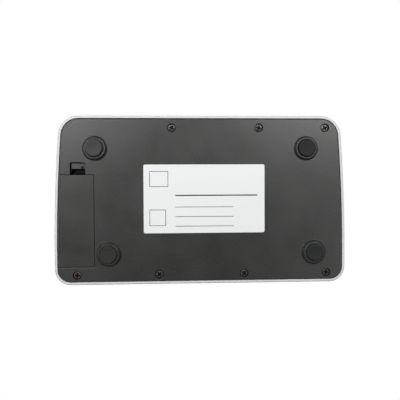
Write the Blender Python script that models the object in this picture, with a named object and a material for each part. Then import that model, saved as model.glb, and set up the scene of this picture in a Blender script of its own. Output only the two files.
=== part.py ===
"""Refreshable braille display: twenty eight-dot cells with routing, dot, space and thumb keys.

Metres, Z up. It stands on four feet at z = 0 with the reader on the -Y side, and the middle of its
footprint is the origin. Each sub-part is one object, and each moving piece has its origin on its joint.
"""
import math

import bmesh
import bpy
from mathutils import Vector

# Fits and facets shared by all pieces
GAP = 0.0003
OVERRUN = 0.003
SINK = 0.0006
SHARP_ANGLE = math.radians(32)
BOSS_SIDES = 8
POST_SIDES = 6

# Shape of the case outline, whose width and depth follow from what the case holds
SIDE_LEAN = 0.0017
SIDE_BOW = 0.0013
FRONT_CORNER_RADIUS = 0.0088
REAR_CORNER_RADIUS = 0.0116
CORNER_STEPS = 6
SIDE_STEPS = 5

# Shells
FOOT_HEIGHT = 0.0030
WALL = 0.0015
WALL_DRAFT = 0.0005
DECK = 0.0020
TOP_ROUND = 0.0028
TOP_ROUND_STEPS = 4
RIM_ROUND = 0.0005
RIM_STEP = 0.0003
FLOOR = 0.0024
FLOOR_EDGE_ROUND = 0.0004
LIP_THICKNESS = 0.0014
LIP_HEIGHT = 0.0020

# Feet, with pads seated in rings on the underside
PAD_RADIUS = 0.0049
PAD_SEAT = 0.0004
PAD_EDGE_ROUND = 0.0005
FOOT_SIDES = 24
FOOT_GROOVE = 0.0005
FOOT_RING = 0.00075
FOOT_FLARE = 0.00095
FOOT_RING_HEIGHT = 0.0021
REAR_FOOT_SHARE = 0.7265
FRONT_LEFT_FOOT_SHARE = 0.7827
REAR_FOOT_INSET = 0.01875
FRONT_FOOT_INSET = 0.0176
FOOT_COVER_ROOM = 0.0012

# Case screws, placed by shares of half the case width
SCREW_HEAD_RADIUS = 0.0021
SCREW_HEAD_HEIGHT = 0.0013
SCREW_HEAD_DEPTH = 0.0005
SCREW_HEAD_ROOM = 0.00045
SCREW_EDGE_ROUND = 0.0005
SCREW_SHANK_RADIUS = 0.0010
SCREW_SHANK_LENGTH = 0.0100
SCREW_BOSS_WALL = 0.00085
SCREW_SIDES = 8
COUNTERBORE_SIDES = 12
PILOT_SIDES = 6
LOWER_BOSS_HEIGHT = 0.0050
REAR_SCREW_INSET = 0.0070
FRONT_SCREW_INSET = 0.0056
REAR_SCREW_SHARES = (0.204, -0.397, -0.861)
FRONT_SCREW_SHARES = (0.854, 0.294, -0.294, -0.872)

# Braille cells
CELL_COUNT = 20
CELL_PITCH = 0.00642
CELL_HEAD_DEPTH = 0.0118
CELL_HEAD_PROUD = 0.0002
REED_LENGTH = 0.0580
REED_HEIGHT = 0.0092
BANK_FRONT_ROOM = 0.00225
BANK_REAR_ROOM = 0.0023
BANK_SIDE_ROOM = 0.0007
CARRIER_THICKNESS = 0.0014
BACKPLANE_THICKNESS = 0.0016
PIN_SPACING = 0.0025
PIN_ROWS = 4
PIN_RADIUS = 0.00075
PIN_TIP_RADIUS = 0.00045
PIN_HEIGHT = 0.0007
PIN_SIDES = 6
CHANNEL_MARGIN = 0.0026
CHANNEL_DEPTH = 0.0006
CHANNEL_CORNER_RADIUS = 0.0022

# Deck keys
KEY_TRAVEL = 0.0010
KEY_FLANGE = 0.0006
KEY_FLANGE_THICKNESS = 0.0009
KEY_SLOT_CLEARANCE = 0.0003
KEY_EDGE_ROUND = 0.0004
KEY_DISH = 0.0003
ROUTING_DEPTH = 0.0042
ROUTING_SPACING = 0.0016
ROUTING_SETBACK = 0.0024
ROUTING_CORNER_RADIUS = 0.0007
ROUTING_PROUD = 0.0008
DOT_KEYS_PER_HAND = 4
DOT_KEY_DEPTH = 0.0190
DOT_KEY_SPACING = 0.0026
DOT_KEY_SETBACK = 0.0054
DOT_KEY_SIDE_MARGIN = 0.0032
DOT_KEY_CORNER_RADIUS = 0.0024
DOT_KEY_PROUD = 0.0015
INDEX_FINGER_REACH = 0.0038
MIDDLE_FINGER_REACH = 0.0065
RING_FINGER_REACH = 0.0046
LITTLE_FINGER_REACH = 0.0000
SPACE_BAR_WIDTH = 0.0440
SPACE_BAR_DEPTH = 0.0090
SPACE_BAR_SETBACK = 0.0066
SPACE_BAR_CORNER_RADIUS = 0.0028

# Thumb keys in the front wall
THUMB_KEY_HEIGHT = 0.0070
THUMB_KEY_CORNER_RADIUS = 0.0020
THUMB_KEY_INSET = 0.0006
THUMB_KEY_MARGIN = 0.0060
THUMB_KEY_CENTRE_GAP = 0.0032
THUMB_KEY_LEVEL = 0.0100
THUMB_STEM_WIDTH = 0.0060
THUMB_STEM_HEIGHT = 0.0040

# Boards
BOARD_THICKNESS = 0.0012
MAIN_BOARD_RISE = 0.0009
MAIN_BOARD_LEFT_MARGIN = 0.0100
BOARD_TAB_CLEARANCE = 0.0024
BOARD_POST_RADIUS = 0.0022
KEY_BOARD_SETBACK = 0.0005
KEY_BOARD_REAR_MARGIN = 0.0030
THUMB_BOARD_MARGIN = 0.0040
CHIP_SIZE = 0.0070
CHIP_HEIGHT = 0.0012

# Battery bay and cover
COVER_FRONT_ROOM = 0.00155
COVER_FOOT_ROOM = 0.0008
COVER_THICKNESS = 0.0010
BAY_LEDGE = 0.0013
BAY_SIDE_LEDGE = 0.0043
BAY_SIDE_ROOM = 0.0009
BAY_WALL = 0.0010
BAY_ROOF = 0.0010
PACK_WIDTH = 0.0130
PACK_HEIGHT = 0.0120
PACK_EDGE_RADIUS = 0.0020
TERMINAL_THICKNESS = 0.0027
TERMINAL_HEIGHT = 0.0070
TONGUE_WIDTH = 0.0030
TONGUE_THICKNESS = 0.0010
TONGUE_REACH = 0.0019
TONGUE_RIB = 0.0010
TONGUE_SHARES = (0.22, 0.72)

# Snap latch of the battery cover, and the finger window that it works in
WINDOW_CORNER_RADIUS = 0.0011
WINDOW_EDGE_DISTANCE = 0.0046
LATCH_WIDTH = 0.0074
LATCH_SIDE_GAP = 0.0003
LATCH_FAR_GAP = 0.0010
LATCH_REAR_GAP = 0.0008
LATCH_THICKNESS = 0.0009
LATCH_HOLLOW = 0.0035
LATCH_LIP_DEPTH = 0.0029
LATCH_LIP_THICKNESS = 0.0010
LATCH_LIP_SET_BACK = 0.0004
LATCH_NOTCH_DISTANCE = 0.0007
LATCH_NOTCH_WIDTH = 0.0012
LATCH_NOTCH_DEPTH = 0.0014
LATCH_CATCH = 0.0004
LATCH_CATCH_THICKNESS = 0.0008
LATCH_RISE = 0.0080
LATCH_BEND_STEPS = 6

# Sockets and switch in the rear wall
SOCKET_CORNER_DISTANCE = 0.0270
SOCKET_WIDTH = 0.0090
SOCKET_HEIGHT = 0.0032
SOCKET_LENGTH = 0.0076
SOCKET_WALL = 0.0003
SOCKET_BACK = 0.0010
SOCKET_INSET = 0.0011
SOCKET_TONGUE_WIDTH = 0.0067
SOCKET_TONGUE_HEIGHT = 0.0007
SWITCH_SOCKET_PITCH = 0.0180
SWITCH_KNOB_WIDTH = 0.0044
SWITCH_KNOB_HEIGHT = 0.0024
SWITCH_KNOB_INSET = 0.0003
SWITCH_FLANGE = 0.0022
SWITCH_FLANGE_LIP = 0.0006
SWITCH_FLANGE_THICKNESS = 0.0008
SWITCH_TRAVEL = 0.0030
SWITCH_STEM_WIDTH = 0.0020
SWITCH_BODY_WIDTH = 0.0100
SWITCH_BODY_DEPTH = 0.0042
SWITCH_BODY_HEIGHT = 0.0042

# Rating label, left bare
LABEL_WIDTH = 0.0698
LABEL_DEPTH = 0.0394
LABEL_THICKNESS = 0.0002
LABEL_GAP = 0.0001
LABEL_CORNER_RADIUS = 0.0010
LABEL_X = -0.0016
LABEL_Y = 0.0007

# Sizes of small pieces worked out from the sizes above
PAD_HEIGHT = FOOT_HEIGHT - PAD_SEAT
FOOT_TOP_RADIUS = PAD_RADIUS + FOOT_GROOVE + FOOT_RING
FOOT_BASE_RADIUS = FOOT_TOP_RADIUS + FOOT_FLARE
COUNTERBORE_RADIUS = SCREW_HEAD_RADIUS + SCREW_HEAD_ROOM
COUNTERBORE_DEPTH = SCREW_HEAD_DEPTH + SCREW_HEAD_HEIGHT + GAP
SCREW_BOSS_RADIUS = COUNTERBORE_RADIUS + SCREW_BOSS_WALL
WINDOW_WIDTH = LATCH_SIDE_GAP + LATCH_WIDTH + LATCH_FAR_GAP
WINDOW_LENGTH = LATCH_HOLLOW + LATCH_LIP_DEPTH + LATCH_REAR_GAP
BANK_HALF_WIDTH = CELL_COUNT * CELL_PITCH / 2
ROUTING_WIDTH = CELL_PITCH - ROUTING_SPACING
FIRST_DOT_KEY_X = KEY_FLANGE + GAP
DOT_KEY_ROW_END_X = BANK_HALF_WIDTH - DOT_KEY_SIDE_MARGIN - KEY_FLANGE + DOT_KEY_SPACING / 2
DOT_KEY_PITCH = (DOT_KEY_ROW_END_X - FIRST_DOT_KEY_X) / DOT_KEYS_PER_HAND
DOT_KEY_WIDTH = DOT_KEY_PITCH - DOT_KEY_SPACING

# Levels worked out from the floor up
BASE_Z = FOOT_HEIGHT
FLOOR_TOP_Z = BASE_Z + FLOOR
LIP_TOP_Z = FLOOR_TOP_Z + LIP_HEIGHT
LOWER_BOSS_TOP_Z = BASE_Z + LOWER_BOSS_HEIGHT
MAIN_BOARD_Z = FLOOR_TOP_Z + MAIN_BOARD_RISE
MAIN_BOARD_TOP_Z = MAIN_BOARD_Z + BOARD_THICKNESS
CARRIER_Z = MAIN_BOARD_TOP_Z + GAP
REED_TOP_Z = CARRIER_Z + REED_HEIGHT
KEY_BOARD_Z = REED_TOP_Z + GAP
KEY_BOARD_TOP_Z = KEY_BOARD_Z + BOARD_THICKNESS
KEY_FLANGE_Z = KEY_BOARD_TOP_Z + GAP + KEY_TRAVEL
KEY_FLANGE_TOP_Z = KEY_FLANGE_Z + KEY_FLANGE_THICKNESS
CEILING_Z = KEY_FLANGE_TOP_Z + GAP
TOP_Z = CEILING_Z + DECK
HEAD_TOP_Z = TOP_Z - CHANNEL_DEPTH + CELL_HEAD_PROUD
COVER_INNER_Z = BASE_Z + COVER_THICKNESS
LEDGE_Z = COVER_INNER_Z + GAP

# Places across the case, from the row of cells out past the battery bay to the side
PLATE_INSET = WALL + GAP
BAY_LOW_X = BANK_HALF_WIDTH + BANK_SIDE_ROOM + BAY_WALL
BAY_HIGH_X = BAY_LOW_X + GAP + PACK_WIDTH + GAP
COVER_INNER_X = BAY_LOW_X - BAY_SIDE_LEDGE
HALF_WIDTH = BAY_HIGH_X + BAY_SIDE_ROOM + LIP_THICKNESS + PLATE_INSET
REAR_HALF_WIDTH = HALF_WIDTH - SIDE_LEAN - SIDE_BOW
SOCKET_X = REAR_HALF_WIDTH - SOCKET_CORNER_DISTANCE
SWITCH_X = SOCKET_X - SWITCH_SOCKET_PITCH

# Places along the case, from the front wall over the row of cells to the rear wall
BANK_FRONT_INSET = FRONT_SCREW_INSET + SCREW_BOSS_RADIUS + GAP + BOARD_THICKNESS + BANK_FRONT_ROOM
BANK_REAR_INSET = REAR_SCREW_INSET + SCREW_BOSS_RADIUS + BANK_REAR_ROOM
BANK_DEPTH = CELL_HEAD_DEPTH + REED_LENGTH + BACKPLANE_THICKNESS
HALF_DEPTH = (BANK_FRONT_INSET + BANK_DEPTH + BANK_REAR_INSET) / 2
FRONT_SCREW_Y = FRONT_SCREW_INSET - HALF_DEPTH
REAR_SCREW_Y = HALF_DEPTH - REAR_SCREW_INSET
THUMB_BOARD_Y = FRONT_SCREW_Y + SCREW_BOSS_RADIUS + GAP
HEAD_FRONT_Y = BANK_FRONT_INSET - HALF_DEPTH
READING_Y = HEAD_FRONT_Y + CELL_HEAD_DEPTH / 2
HEAD_REAR_Y = HEAD_FRONT_Y + CELL_HEAD_DEPTH
REED_REAR_Y = HEAD_REAR_Y + REED_LENGTH
BANK_REAR_Y = REED_REAR_Y + BACKPLANE_THICKNESS
ROUTING_Y = HEAD_REAR_Y + ROUTING_SETBACK + ROUTING_DEPTH / 2
SPACE_BAR_Y = ROUTING_Y + ROUTING_DEPTH / 2 + SPACE_BAR_SETBACK + SPACE_BAR_DEPTH / 2
DOT_KEY_Y = SPACE_BAR_Y + SPACE_BAR_DEPTH / 2 + DOT_KEY_SETBACK + DOT_KEY_DEPTH / 2
REAR_FOOT_Y = HALF_DEPTH - REAR_FOOT_INSET
FRONT_FOOT_Y = FRONT_FOOT_INSET - HALF_DEPTH
COVER_FRONT_Y = FRONT_SCREW_Y + SCREW_BOSS_RADIUS + COVER_FRONT_ROOM
WINDOW_REAR_Y = REAR_FOOT_Y - FOOT_BASE_RADIUS - COVER_FOOT_ROOM
COVER_REAR_Y = WINDOW_REAR_Y - WINDOW_LENGTH
ORIGIN = Vector((0, 0, 0))


def side_half_width(y, inset):
    """Half the width of the case at one depth: tapered to the rear, with gently bowed sides."""
    share = y / HALF_DEPTH
    return HALF_WIDTH - SIDE_LEAN * share - SIDE_BOW * share ** 2 - inset


def side_slope(y):
    """How fast the half width grows with y."""
    return -(SIDE_LEAN + 2 * SIDE_BOW * y / HALF_DEPTH) / HALF_DEPTH


def corner_arc(inset, radius, end):
    """One right-hand corner, ordered from front to rear; end is -1 in front and 1 at the rear."""
    reach = radius - inset
    centre_y = end * (HALF_DEPTH - inset - reach)
    slope = side_slope(centre_y)
    centre_x = side_half_width(centre_y, inset) - reach * math.hypot(1, slope)
    turn_angle = math.atan2(-slope, 1)
    edge_angle = end * math.pi / 2
    first, last = (edge_angle, turn_angle) if end < 0 else (turn_angle, edge_angle)
    points = []
    for step in range(CORNER_STEPS + 1):
        angle = first + (last - first) * step / CORNER_STEPS
        points.append((centre_x + reach * math.cos(angle), centre_y + reach * math.sin(angle)))
    return points


def case_outline(inset):
    """The plan outline of the case, drawn in from its outside by the inset."""
    front = corner_arc(inset, FRONT_CORNER_RADIUS, -1)
    rear = corner_arc(inset, REAR_CORNER_RADIUS, 1)
    start_y = front[-1][1]
    end_y = rear[0][1]
    side = []
    for step in range(1, SIDE_STEPS):
        y = start_y + (end_y - start_y) * step / SIDE_STEPS
        side.append((side_half_width(y, inset), y))
    right = front + side + rear
    left = [(-x, y) for x, y in reversed(right)]
    return right + left


def rounded_rectangle(width, depth, radius, steps, centre=(0, 0)):
    """A rectangle with round corners about a centre, anticlockwise."""
    reach_x = width / 2 - radius
    reach_y = depth / 2 - radius
    points = []
    for quarter, (side_x, side_y) in enumerate(((1, 1), (-1, 1), (-1, -1), (1, -1))):
        for step in range(steps + 1):
            angle = (quarter + step / steps) * math.pi / 2
            x = centre[0] + side_x * reach_x + radius * math.cos(angle)
            y = centre[1] + side_y * reach_y + radius * math.sin(angle)
            points.append((x, y))
    return points


def rectangle(low_x, high_x, low_y, high_y):
    return [(low_x, low_y), (high_x, low_y), (high_x, high_y), (low_x, high_y)]


def circle(radius, steps, centre=(0, 0)):
    angles = [step * math.tau / steps for step in range(steps)]
    return [(centre[0] + radius * math.cos(a), centre[1] + radius * math.sin(a)) for a in angles]


def at_level(outline, z):
    """A plan outline as a ring at one height."""
    return [Vector((x, y, z)) for x, y in outline]


def on_wall(outline, y):
    """An outline drawn in X and Z as a ring standing at one depth."""
    return [Vector((x, y, z)) for x, z in outline]


def across(outline, x):
    """An outline drawn in Y and Z as a ring standing at one width."""
    return [Vector((x, y, z)) for y, z in outline]


def box(low_x, high_x, low_y, high_y, low_z, high_z):
    outline = rectangle(low_x, high_x, low_y, high_y)
    return [at_level(outline, low_z), at_level(outline, high_z)]


def post(radius, centre, low_z, high_z, steps):
    outline = circle(radius, steps, centre)
    return [at_level(outline, low_z), at_level(outline, high_z)]


def turned(profile, centre, steps):
    """A turned solid: the profile lists radius and height, bottom to top."""
    return [at_level(circle(radius, steps, centre), z) for radius, z in profile]


def add_loft(mesh, rings, origin):
    """Skin a list of rings of equal length into one closed solid."""
    loops = [[mesh.verts.new(point - origin) for point in ring] for ring in rings]
    for lower, upper in zip(loops, loops[1:]):
        for index in range(len(lower)):
            following = (index + 1) % len(lower)
            mesh.faces.new((lower[index], lower[following], upper[following], upper[index]))
    mesh.faces.new(loops[0])
    mesh.faces.new(loops[-1])


def build_mesh(name, lofts, origin=ORIGIN):
    shape = bmesh.new()
    for rings in lofts:
        add_loft(shape, rings, origin)
    bmesh.ops.recalc_face_normals(shape, faces=shape.faces)
    mesh = bpy.data.meshes.new(name)
    shape.to_mesh(mesh)
    shape.free()
    mesh.shade_smooth()
    mesh.set_sharp_from_angle(angle=SHARP_ANGLE)
    return mesh


def finish(name, colour, roughness, metallic=0.0):
    """A plain material of one colour."""
    material = bpy.data.materials.new(name)
    material.use_nodes = True
    shader = material.node_tree.nodes["Principled BSDF"]
    shader.inputs["Base Color"].default_value = (*colour, 1.0)
    shader.inputs["Roughness"].default_value = roughness
    shader.inputs["Metallic"].default_value = metallic
    material.diffuse_color = (*colour, 1.0)
    return material


def piece(name, lofts, material, origin=ORIGIN):
    """One sub-part, with its origin at the given place."""
    part = bpy.data.objects.new(name, build_mesh(name, lofts, origin))
    part.location = origin
    part.data.materials.append(material)
    bpy.context.scene.collection.objects.link(part)
    return part


def combine(target, name, lofts, operation):
    """Join solids to a sub-part or cut them out of it, with a tool that is no piece itself."""
    tool = bpy.data.objects.new(name, build_mesh(name, lofts))
    tool.hide_render = True
    tool.display_type = "WIRE"
    bpy.context.scene.collection.objects.link(tool)
    modifier = target.modifiers.new(name, "BOOLEAN")
    modifier.operation = operation
    modifier.solver = "EXACT"
    modifier.object = tool


def screw_places():
    """Centres of the seven case screws, rear row first."""
    rear = [(share * HALF_WIDTH, REAR_SCREW_Y) for share in REAR_SCREW_SHARES]
    front = [(share * HALF_WIDTH, FRONT_SCREW_Y) for share in FRONT_SCREW_SHARES]
    return rear + front


def foot_places():
    """Name and centre of each foot; the front right one stands beside the battery cover."""
    rear_x = REAR_FOOT_SHARE * HALF_WIDTH
    front_right_x = COVER_INNER_X - FOOT_COVER_ROOM - FOOT_BASE_RADIUS
    front_left_x = -FRONT_LEFT_FOOT_SHARE * HALF_WIDTH
    return [
        ("foot_rear_right", (rear_x, REAR_FOOT_Y)), ("foot_rear_left", (-rear_x, REAR_FOOT_Y)),
        ("foot_front_right", (front_right_x, FRONT_FOOT_Y)),
        ("foot_front_left", (front_left_x, FRONT_FOOT_Y)),
    ]


def cell_centres():
    return [(index - (CELL_COUNT - 1) / 2) * CELL_PITCH for index in range(CELL_COUNT)]


def dot_key_places():
    """Name and centre of each dot key: index fingers inside, little fingers outside."""
    reaches = (INDEX_FINGER_REACH, MIDDLE_FINGER_REACH, RING_FINGER_REACH, LITTLE_FINGER_REACH)
    left_dots = (1, 2, 3, 7)
    right_dots = (4, 5, 6, 8)
    first_x = FIRST_DOT_KEY_X + DOT_KEY_PITCH / 2
    places = []
    for side, dots in ((-1, left_dots), (1, right_dots)):
        for finger, (dot, reach) in enumerate(zip(dots, reaches)):
            centre = (side * (first_x + finger * DOT_KEY_PITCH), DOT_KEY_Y + reach)
            places.append((f"dot_key_{dot}", centre))
    return places


def thumb_key_spans():
    """Name, centre and width of each thumb key, fitted between the front screw bosses."""
    boss_places = sorted(abs(share) * HALF_WIDTH for share in FRONT_SCREW_SHARES)
    inner_boss = boss_places[1]
    outer_boss = boss_places[2]
    inner_start = THUMB_KEY_CENTRE_GAP / 2
    inner_end = boss_places[0] - SCREW_BOSS_RADIUS - KEY_FLANGE - GAP
    outer_start = inner_boss + SCREW_BOSS_RADIUS + THUMB_KEY_MARGIN
    outer_end = outer_boss - SCREW_BOSS_RADIUS - THUMB_KEY_MARGIN
    spans = (("inner", inner_start, inner_end), ("outer", outer_start, outer_end))
    keys = []
    for side, hand in ((-1, "left"), (1, "right")):
        for place, start, end in spans:
            keys.append((f"thumb_key_{hand}_{place}", side * (start + end) / 2, end - start))
    return keys


def board_post_places():
    """Posts that hold the key board under the deck, clear of every key."""
    side_x = BANK_HALF_WIDTH - BOARD_POST_RADIUS - DOT_KEY_PITCH / 4
    near_x = SPACE_BAR_WIDTH / 2 + DOT_KEY_WIDTH / 2 + BOARD_POST_RADIUS
    rear_y = DOT_KEY_Y + DOT_KEY_DEPTH / 2 + MIDDLE_FINGER_REACH
    return [
        (-side_x, SPACE_BAR_Y), (-near_x, SPACE_BAR_Y), (near_x, SPACE_BAR_Y), (side_x, SPACE_BAR_Y),
        (-side_x, rear_y), (0, rear_y), (side_x, rear_y),
    ]


def shell_rings():
    """Rings of the upper shell, from its ceiling down inside, round the rim and up outside."""
    rim_z = BASE_Z + RIM_STEP
    rings = [
        at_level(case_outline(WALL), CEILING_Z),
        at_level(case_outline(WALL), rim_z),
        at_level(case_outline(RIM_ROUND), rim_z),
        at_level(case_outline(0), rim_z + RIM_ROUND),
    ]
    for step in range(TOP_ROUND_STEPS + 1):
        angle = step / TOP_ROUND_STEPS * math.pi / 2
        inset = WALL_DRAFT + TOP_ROUND * (1 - math.cos(angle))
        rings.append(at_level(case_outline(inset), TOP_Z - TOP_ROUND * (1 - math.sin(angle))))
    return rings


def deck_openings():
    """Cutters for every key and for the row of cells, straight down through the deck."""
    low_z = CEILING_Z - OVERRUN
    high_z = TOP_Z + OVERRUN
    slack = 2 * KEY_SLOT_CLEARANCE
    outlines = []
    head_width = 2 * BANK_HALF_WIDTH + slack
    head_depth = CELL_HEAD_DEPTH + slack
    outlines.append(rounded_rectangle(head_width, head_depth, GAP, 1, (0, READING_Y)))
    for x in cell_centres():
        size = (ROUTING_WIDTH + slack, ROUTING_DEPTH + slack, ROUTING_CORNER_RADIUS)
        outlines.append(rounded_rectangle(*size, 1, (x, ROUTING_Y)))
    for _, centre in dot_key_places():
        size = (DOT_KEY_WIDTH + slack, DOT_KEY_DEPTH + slack, DOT_KEY_CORNER_RADIUS)
        outlines.append(rounded_rectangle(*size, 2, centre))
    size = (SPACE_BAR_WIDTH + slack, SPACE_BAR_DEPTH + slack, SPACE_BAR_CORNER_RADIUS)
    outlines.append(rounded_rectangle(*size, 3, (0, SPACE_BAR_Y)))
    return [[at_level(outline, low_z), at_level(outline, high_z)] for outline in outlines]


def wall_openings():
    """Cutters for the thumb keys in front, and for the socket and the switch at the rear."""
    slack = 2 * KEY_SLOT_CLEARANCE
    front_y = -HALF_DEPTH
    cutters = []
    for _, x, width in thumb_key_spans():
        size = (width + slack, THUMB_KEY_HEIGHT + slack, THUMB_KEY_CORNER_RADIUS)
        outline = rounded_rectangle(*size, 2, (x, BASE_Z + THUMB_KEY_LEVEL))
        cutters.append([on_wall(outline, front_y - OVERRUN), on_wall(outline, front_y + WALL + OVERRUN)])
    width = SOCKET_WIDTH + slack
    height = SOCKET_HEIGHT + slack
    socket = rounded_rectangle(width, height, height / 3, 3, (SOCKET_X, socket_centre_z()))
    slot_width = SWITCH_KNOB_WIDTH + SWITCH_TRAVEL + slack
    slot_height = SWITCH_KNOB_HEIGHT + slack
    slot_centre = (SWITCH_X + SWITCH_TRAVEL / 2, switch_centre_z())
    slot = rounded_rectangle(slot_width, slot_height, slot_height / 4, 2, slot_centre)
    for outline in (socket, slot):
        cutters.append([on_wall(outline, -front_y - WALL - OVERRUN), on_wall(outline, -front_y + OVERRUN)])
    return cutters


def make_upper_case(material):
    case = piece("upper_case", [shell_rings()], material)
    posts = []
    root_z = CEILING_Z + SINK
    boss_end_z = LOWER_BOSS_TOP_Z + GAP
    for centre in screw_places():
        posts.append(post(SCREW_BOSS_RADIUS, centre, boss_end_z, root_z, BOSS_SIDES))
    post_end_z = KEY_BOARD_TOP_Z + GAP
    for centre in board_post_places():
        posts.append(post(BOARD_POST_RADIUS, centre, post_end_z, root_z, POST_SIDES))
    combine(case, "upper_case_posts", posts, "UNION")
    channel = rounded_rectangle(
        2 * (BANK_HALF_WIDTH + CHANNEL_MARGIN),
        CELL_HEAD_DEPTH + 2 * CHANNEL_MARGIN,
        CHANNEL_CORNER_RADIUS, 3, (0, READING_Y))
    floor_z = TOP_Z - CHANNEL_DEPTH
    hollow = [at_level(channel, floor_z), at_level(channel, TOP_Z + OVERRUN)]
    combine(case, "reading_channel", [hollow], "DIFFERENCE")
    combine(case, "deck_openings", deck_openings(), "DIFFERENCE")
    combine(case, "wall_openings", wall_openings(), "DIFFERENCE")
    pilots = []
    mouth_z = LOWER_BOSS_TOP_Z - OVERRUN
    end_z = BASE_Z + SCREW_HEAD_DEPTH + SCREW_HEAD_HEIGHT + SCREW_SHANK_LENGTH + GAP
    for centre in screw_places():
        pilots.append(post(SCREW_SHANK_RADIUS + GAP, centre, mouth_z, end_z, PILOT_SIDES))
    combine(case, "screw_pilots", pilots, "DIFFERENCE")


def bay_limits():
    """Inside of the battery bay: low x, high x, low y, high y."""
    return BAY_LOW_X, BAY_HIGH_X, COVER_FRONT_Y + BAY_LEDGE, COVER_REAR_Y - BAY_LEDGE - BAY_WALL


def tongue_places():
    """Middle x of each hinge tongue of the cover."""
    return [BAY_LOW_X + (BAY_HIGH_X - BAY_LOW_X) * share for share in TONGUE_SHARES]


def window_limits():
    """The finger window: low x, high x, low y, high y."""
    low_x = COVER_INNER_X + WINDOW_EDGE_DISTANCE
    return low_x, low_x + WINDOW_WIDTH, COVER_REAR_Y, WINDOW_REAR_Y


def tray_rings():
    """Rings of the bottom shell: flat underside, rounded edge, lip outside, lip inside, floor."""
    return [
        at_level(case_outline(PLATE_INSET + FLOOR_EDGE_ROUND), BASE_Z),
        at_level(case_outline(PLATE_INSET), BASE_Z + FLOOR_EDGE_ROUND),
        at_level(case_outline(PLATE_INSET), LIP_TOP_Z),
        at_level(case_outline(PLATE_INSET + LIP_THICKNESS), LIP_TOP_Z),
        at_level(case_outline(PLATE_INSET + LIP_THICKNESS), FLOOR_TOP_Z),
    ]


def window_cutter():
    """The finger window, with one rounded corner pair at its far end."""
    low_x, high_x, low_y, high_y = window_limits()
    low_y = bay_limits()[3] + BAY_WALL
    outline = [(low_x, low_y), (high_x, low_y)]
    for side_x, quarter in ((high_x, 0), (low_x, 1)):
        centre_x = side_x - WINDOW_CORNER_RADIUS if quarter == 0 else side_x + WINDOW_CORNER_RADIUS
        for step in range(4):
            angle = (quarter + step / 3) * math.pi / 2
            x = centre_x + WINDOW_CORNER_RADIUS * math.cos(angle)
            outline.append((x, high_y - WINDOW_CORNER_RADIUS * (1 - math.sin(angle))))
    return [at_level(outline, BASE_Z - OVERRUN), at_level(outline, FLOOR_TOP_Z + OVERRUN)]


def make_lower_case(material):
    case = piece("lower_case", [tray_rings()], material)
    bosses = []
    for _, centre in foot_places():
        profile = (
            (FOOT_TOP_RADIUS - PAD_EDGE_ROUND / 2, BASE_Z - FOOT_RING_HEIGHT),
            (FOOT_TOP_RADIUS, BASE_Z - FOOT_RING_HEIGHT + PAD_EDGE_ROUND / 2),
            (FOOT_BASE_RADIUS, BASE_Z),
            (FOOT_BASE_RADIUS, BASE_Z + SINK),
        )
        bosses.append(turned(profile, centre, FOOT_SIDES))
    root_z = FLOOR_TOP_Z - SINK
    for centre in screw_places():
        bosses.append(post(SCREW_BOSS_RADIUS, centre, root_z, LOWER_BOSS_TOP_Z, BOSS_SIDES))
    for centre in standoff_places():
        bosses.append(post(BOARD_POST_RADIUS, centre, root_z, MAIN_BOARD_Z - GAP, POST_SIDES))
    combine(case, "lower_case_bosses", bosses, "UNION")

    low_x, high_x, low_y, high_y = bay_limits()
    roof_z = COVER_INNER_Z + GAP + PACK_HEIGHT + GAP
    housing = box(
        low_x - BAY_WALL, high_x + BAY_WALL, low_y - BAY_WALL, high_y + BAY_WALL,
        FLOOR_TOP_Z - SINK, roof_z + BAY_ROOF)
    combine(case, "battery_housing", [housing], "UNION")

    rebate = box(
        COVER_INNER_X - GAP, 2 * HALF_WIDTH, COVER_FRONT_Y - GAP, COVER_REAR_Y + GAP,
        BASE_Z - OVERRUN, LEDGE_Z)
    combine(case, "cover_rebate", [rebate], "DIFFERENCE")
    pocket = box(low_x, high_x, low_y, high_y, BASE_Z - OVERRUN, roof_z)
    combine(case, "battery_pocket", [pocket], "DIFFERENCE")
    combine(case, "finger_window", [window_cutter()], "DIFFERENCE")

    slots = []
    slot_top_z = FLOOR_TOP_Z + 2 * GAP + TONGUE_THICKNESS + GAP
    for x in tongue_places():
        reach = TONGUE_WIDTH / 2 + GAP
        slots.append(box(
            x - reach, x + reach, low_y - BAY_WALL - SINK, low_y + SINK,
            FLOOR_TOP_Z, slot_top_z))
    combine(case, "tongue_slots", slots, "DIFFERENCE")

    holes = []
    groove_radius = PAD_RADIUS + FOOT_GROOVE
    for centre in screw_places():
        profile = (
            (COUNTERBORE_RADIUS, BASE_Z - OVERRUN),
            (COUNTERBORE_RADIUS, BASE_Z + COUNTERBORE_DEPTH),
            (SCREW_SHANK_RADIUS + GAP, BASE_Z + COUNTERBORE_DEPTH),
            (SCREW_SHANK_RADIUS + GAP, LOWER_BOSS_TOP_Z + OVERRUN),
        )
        holes.append(turned(profile, centre, COUNTERBORE_SIDES))
    for _, centre in foot_places():
        holes.append(post(groove_radius, centre, BASE_Z - FOOT_HEIGHT, PAD_HEIGHT + GAP, FOOT_SIDES))
    combine(case, "screw_and_pad_recesses", holes, "DIFFERENCE")


def make_foot_pad(name, centre, material):
    """A rubber pad, rounded at the edge that meets the table."""
    profile = (
        (PAD_RADIUS - PAD_EDGE_ROUND, 0),
        (PAD_RADIUS, PAD_EDGE_ROUND),
        (PAD_RADIUS, PAD_HEIGHT),
    )
    piece(name, [turned(profile, centre, FOOT_SIDES)], material)


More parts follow.
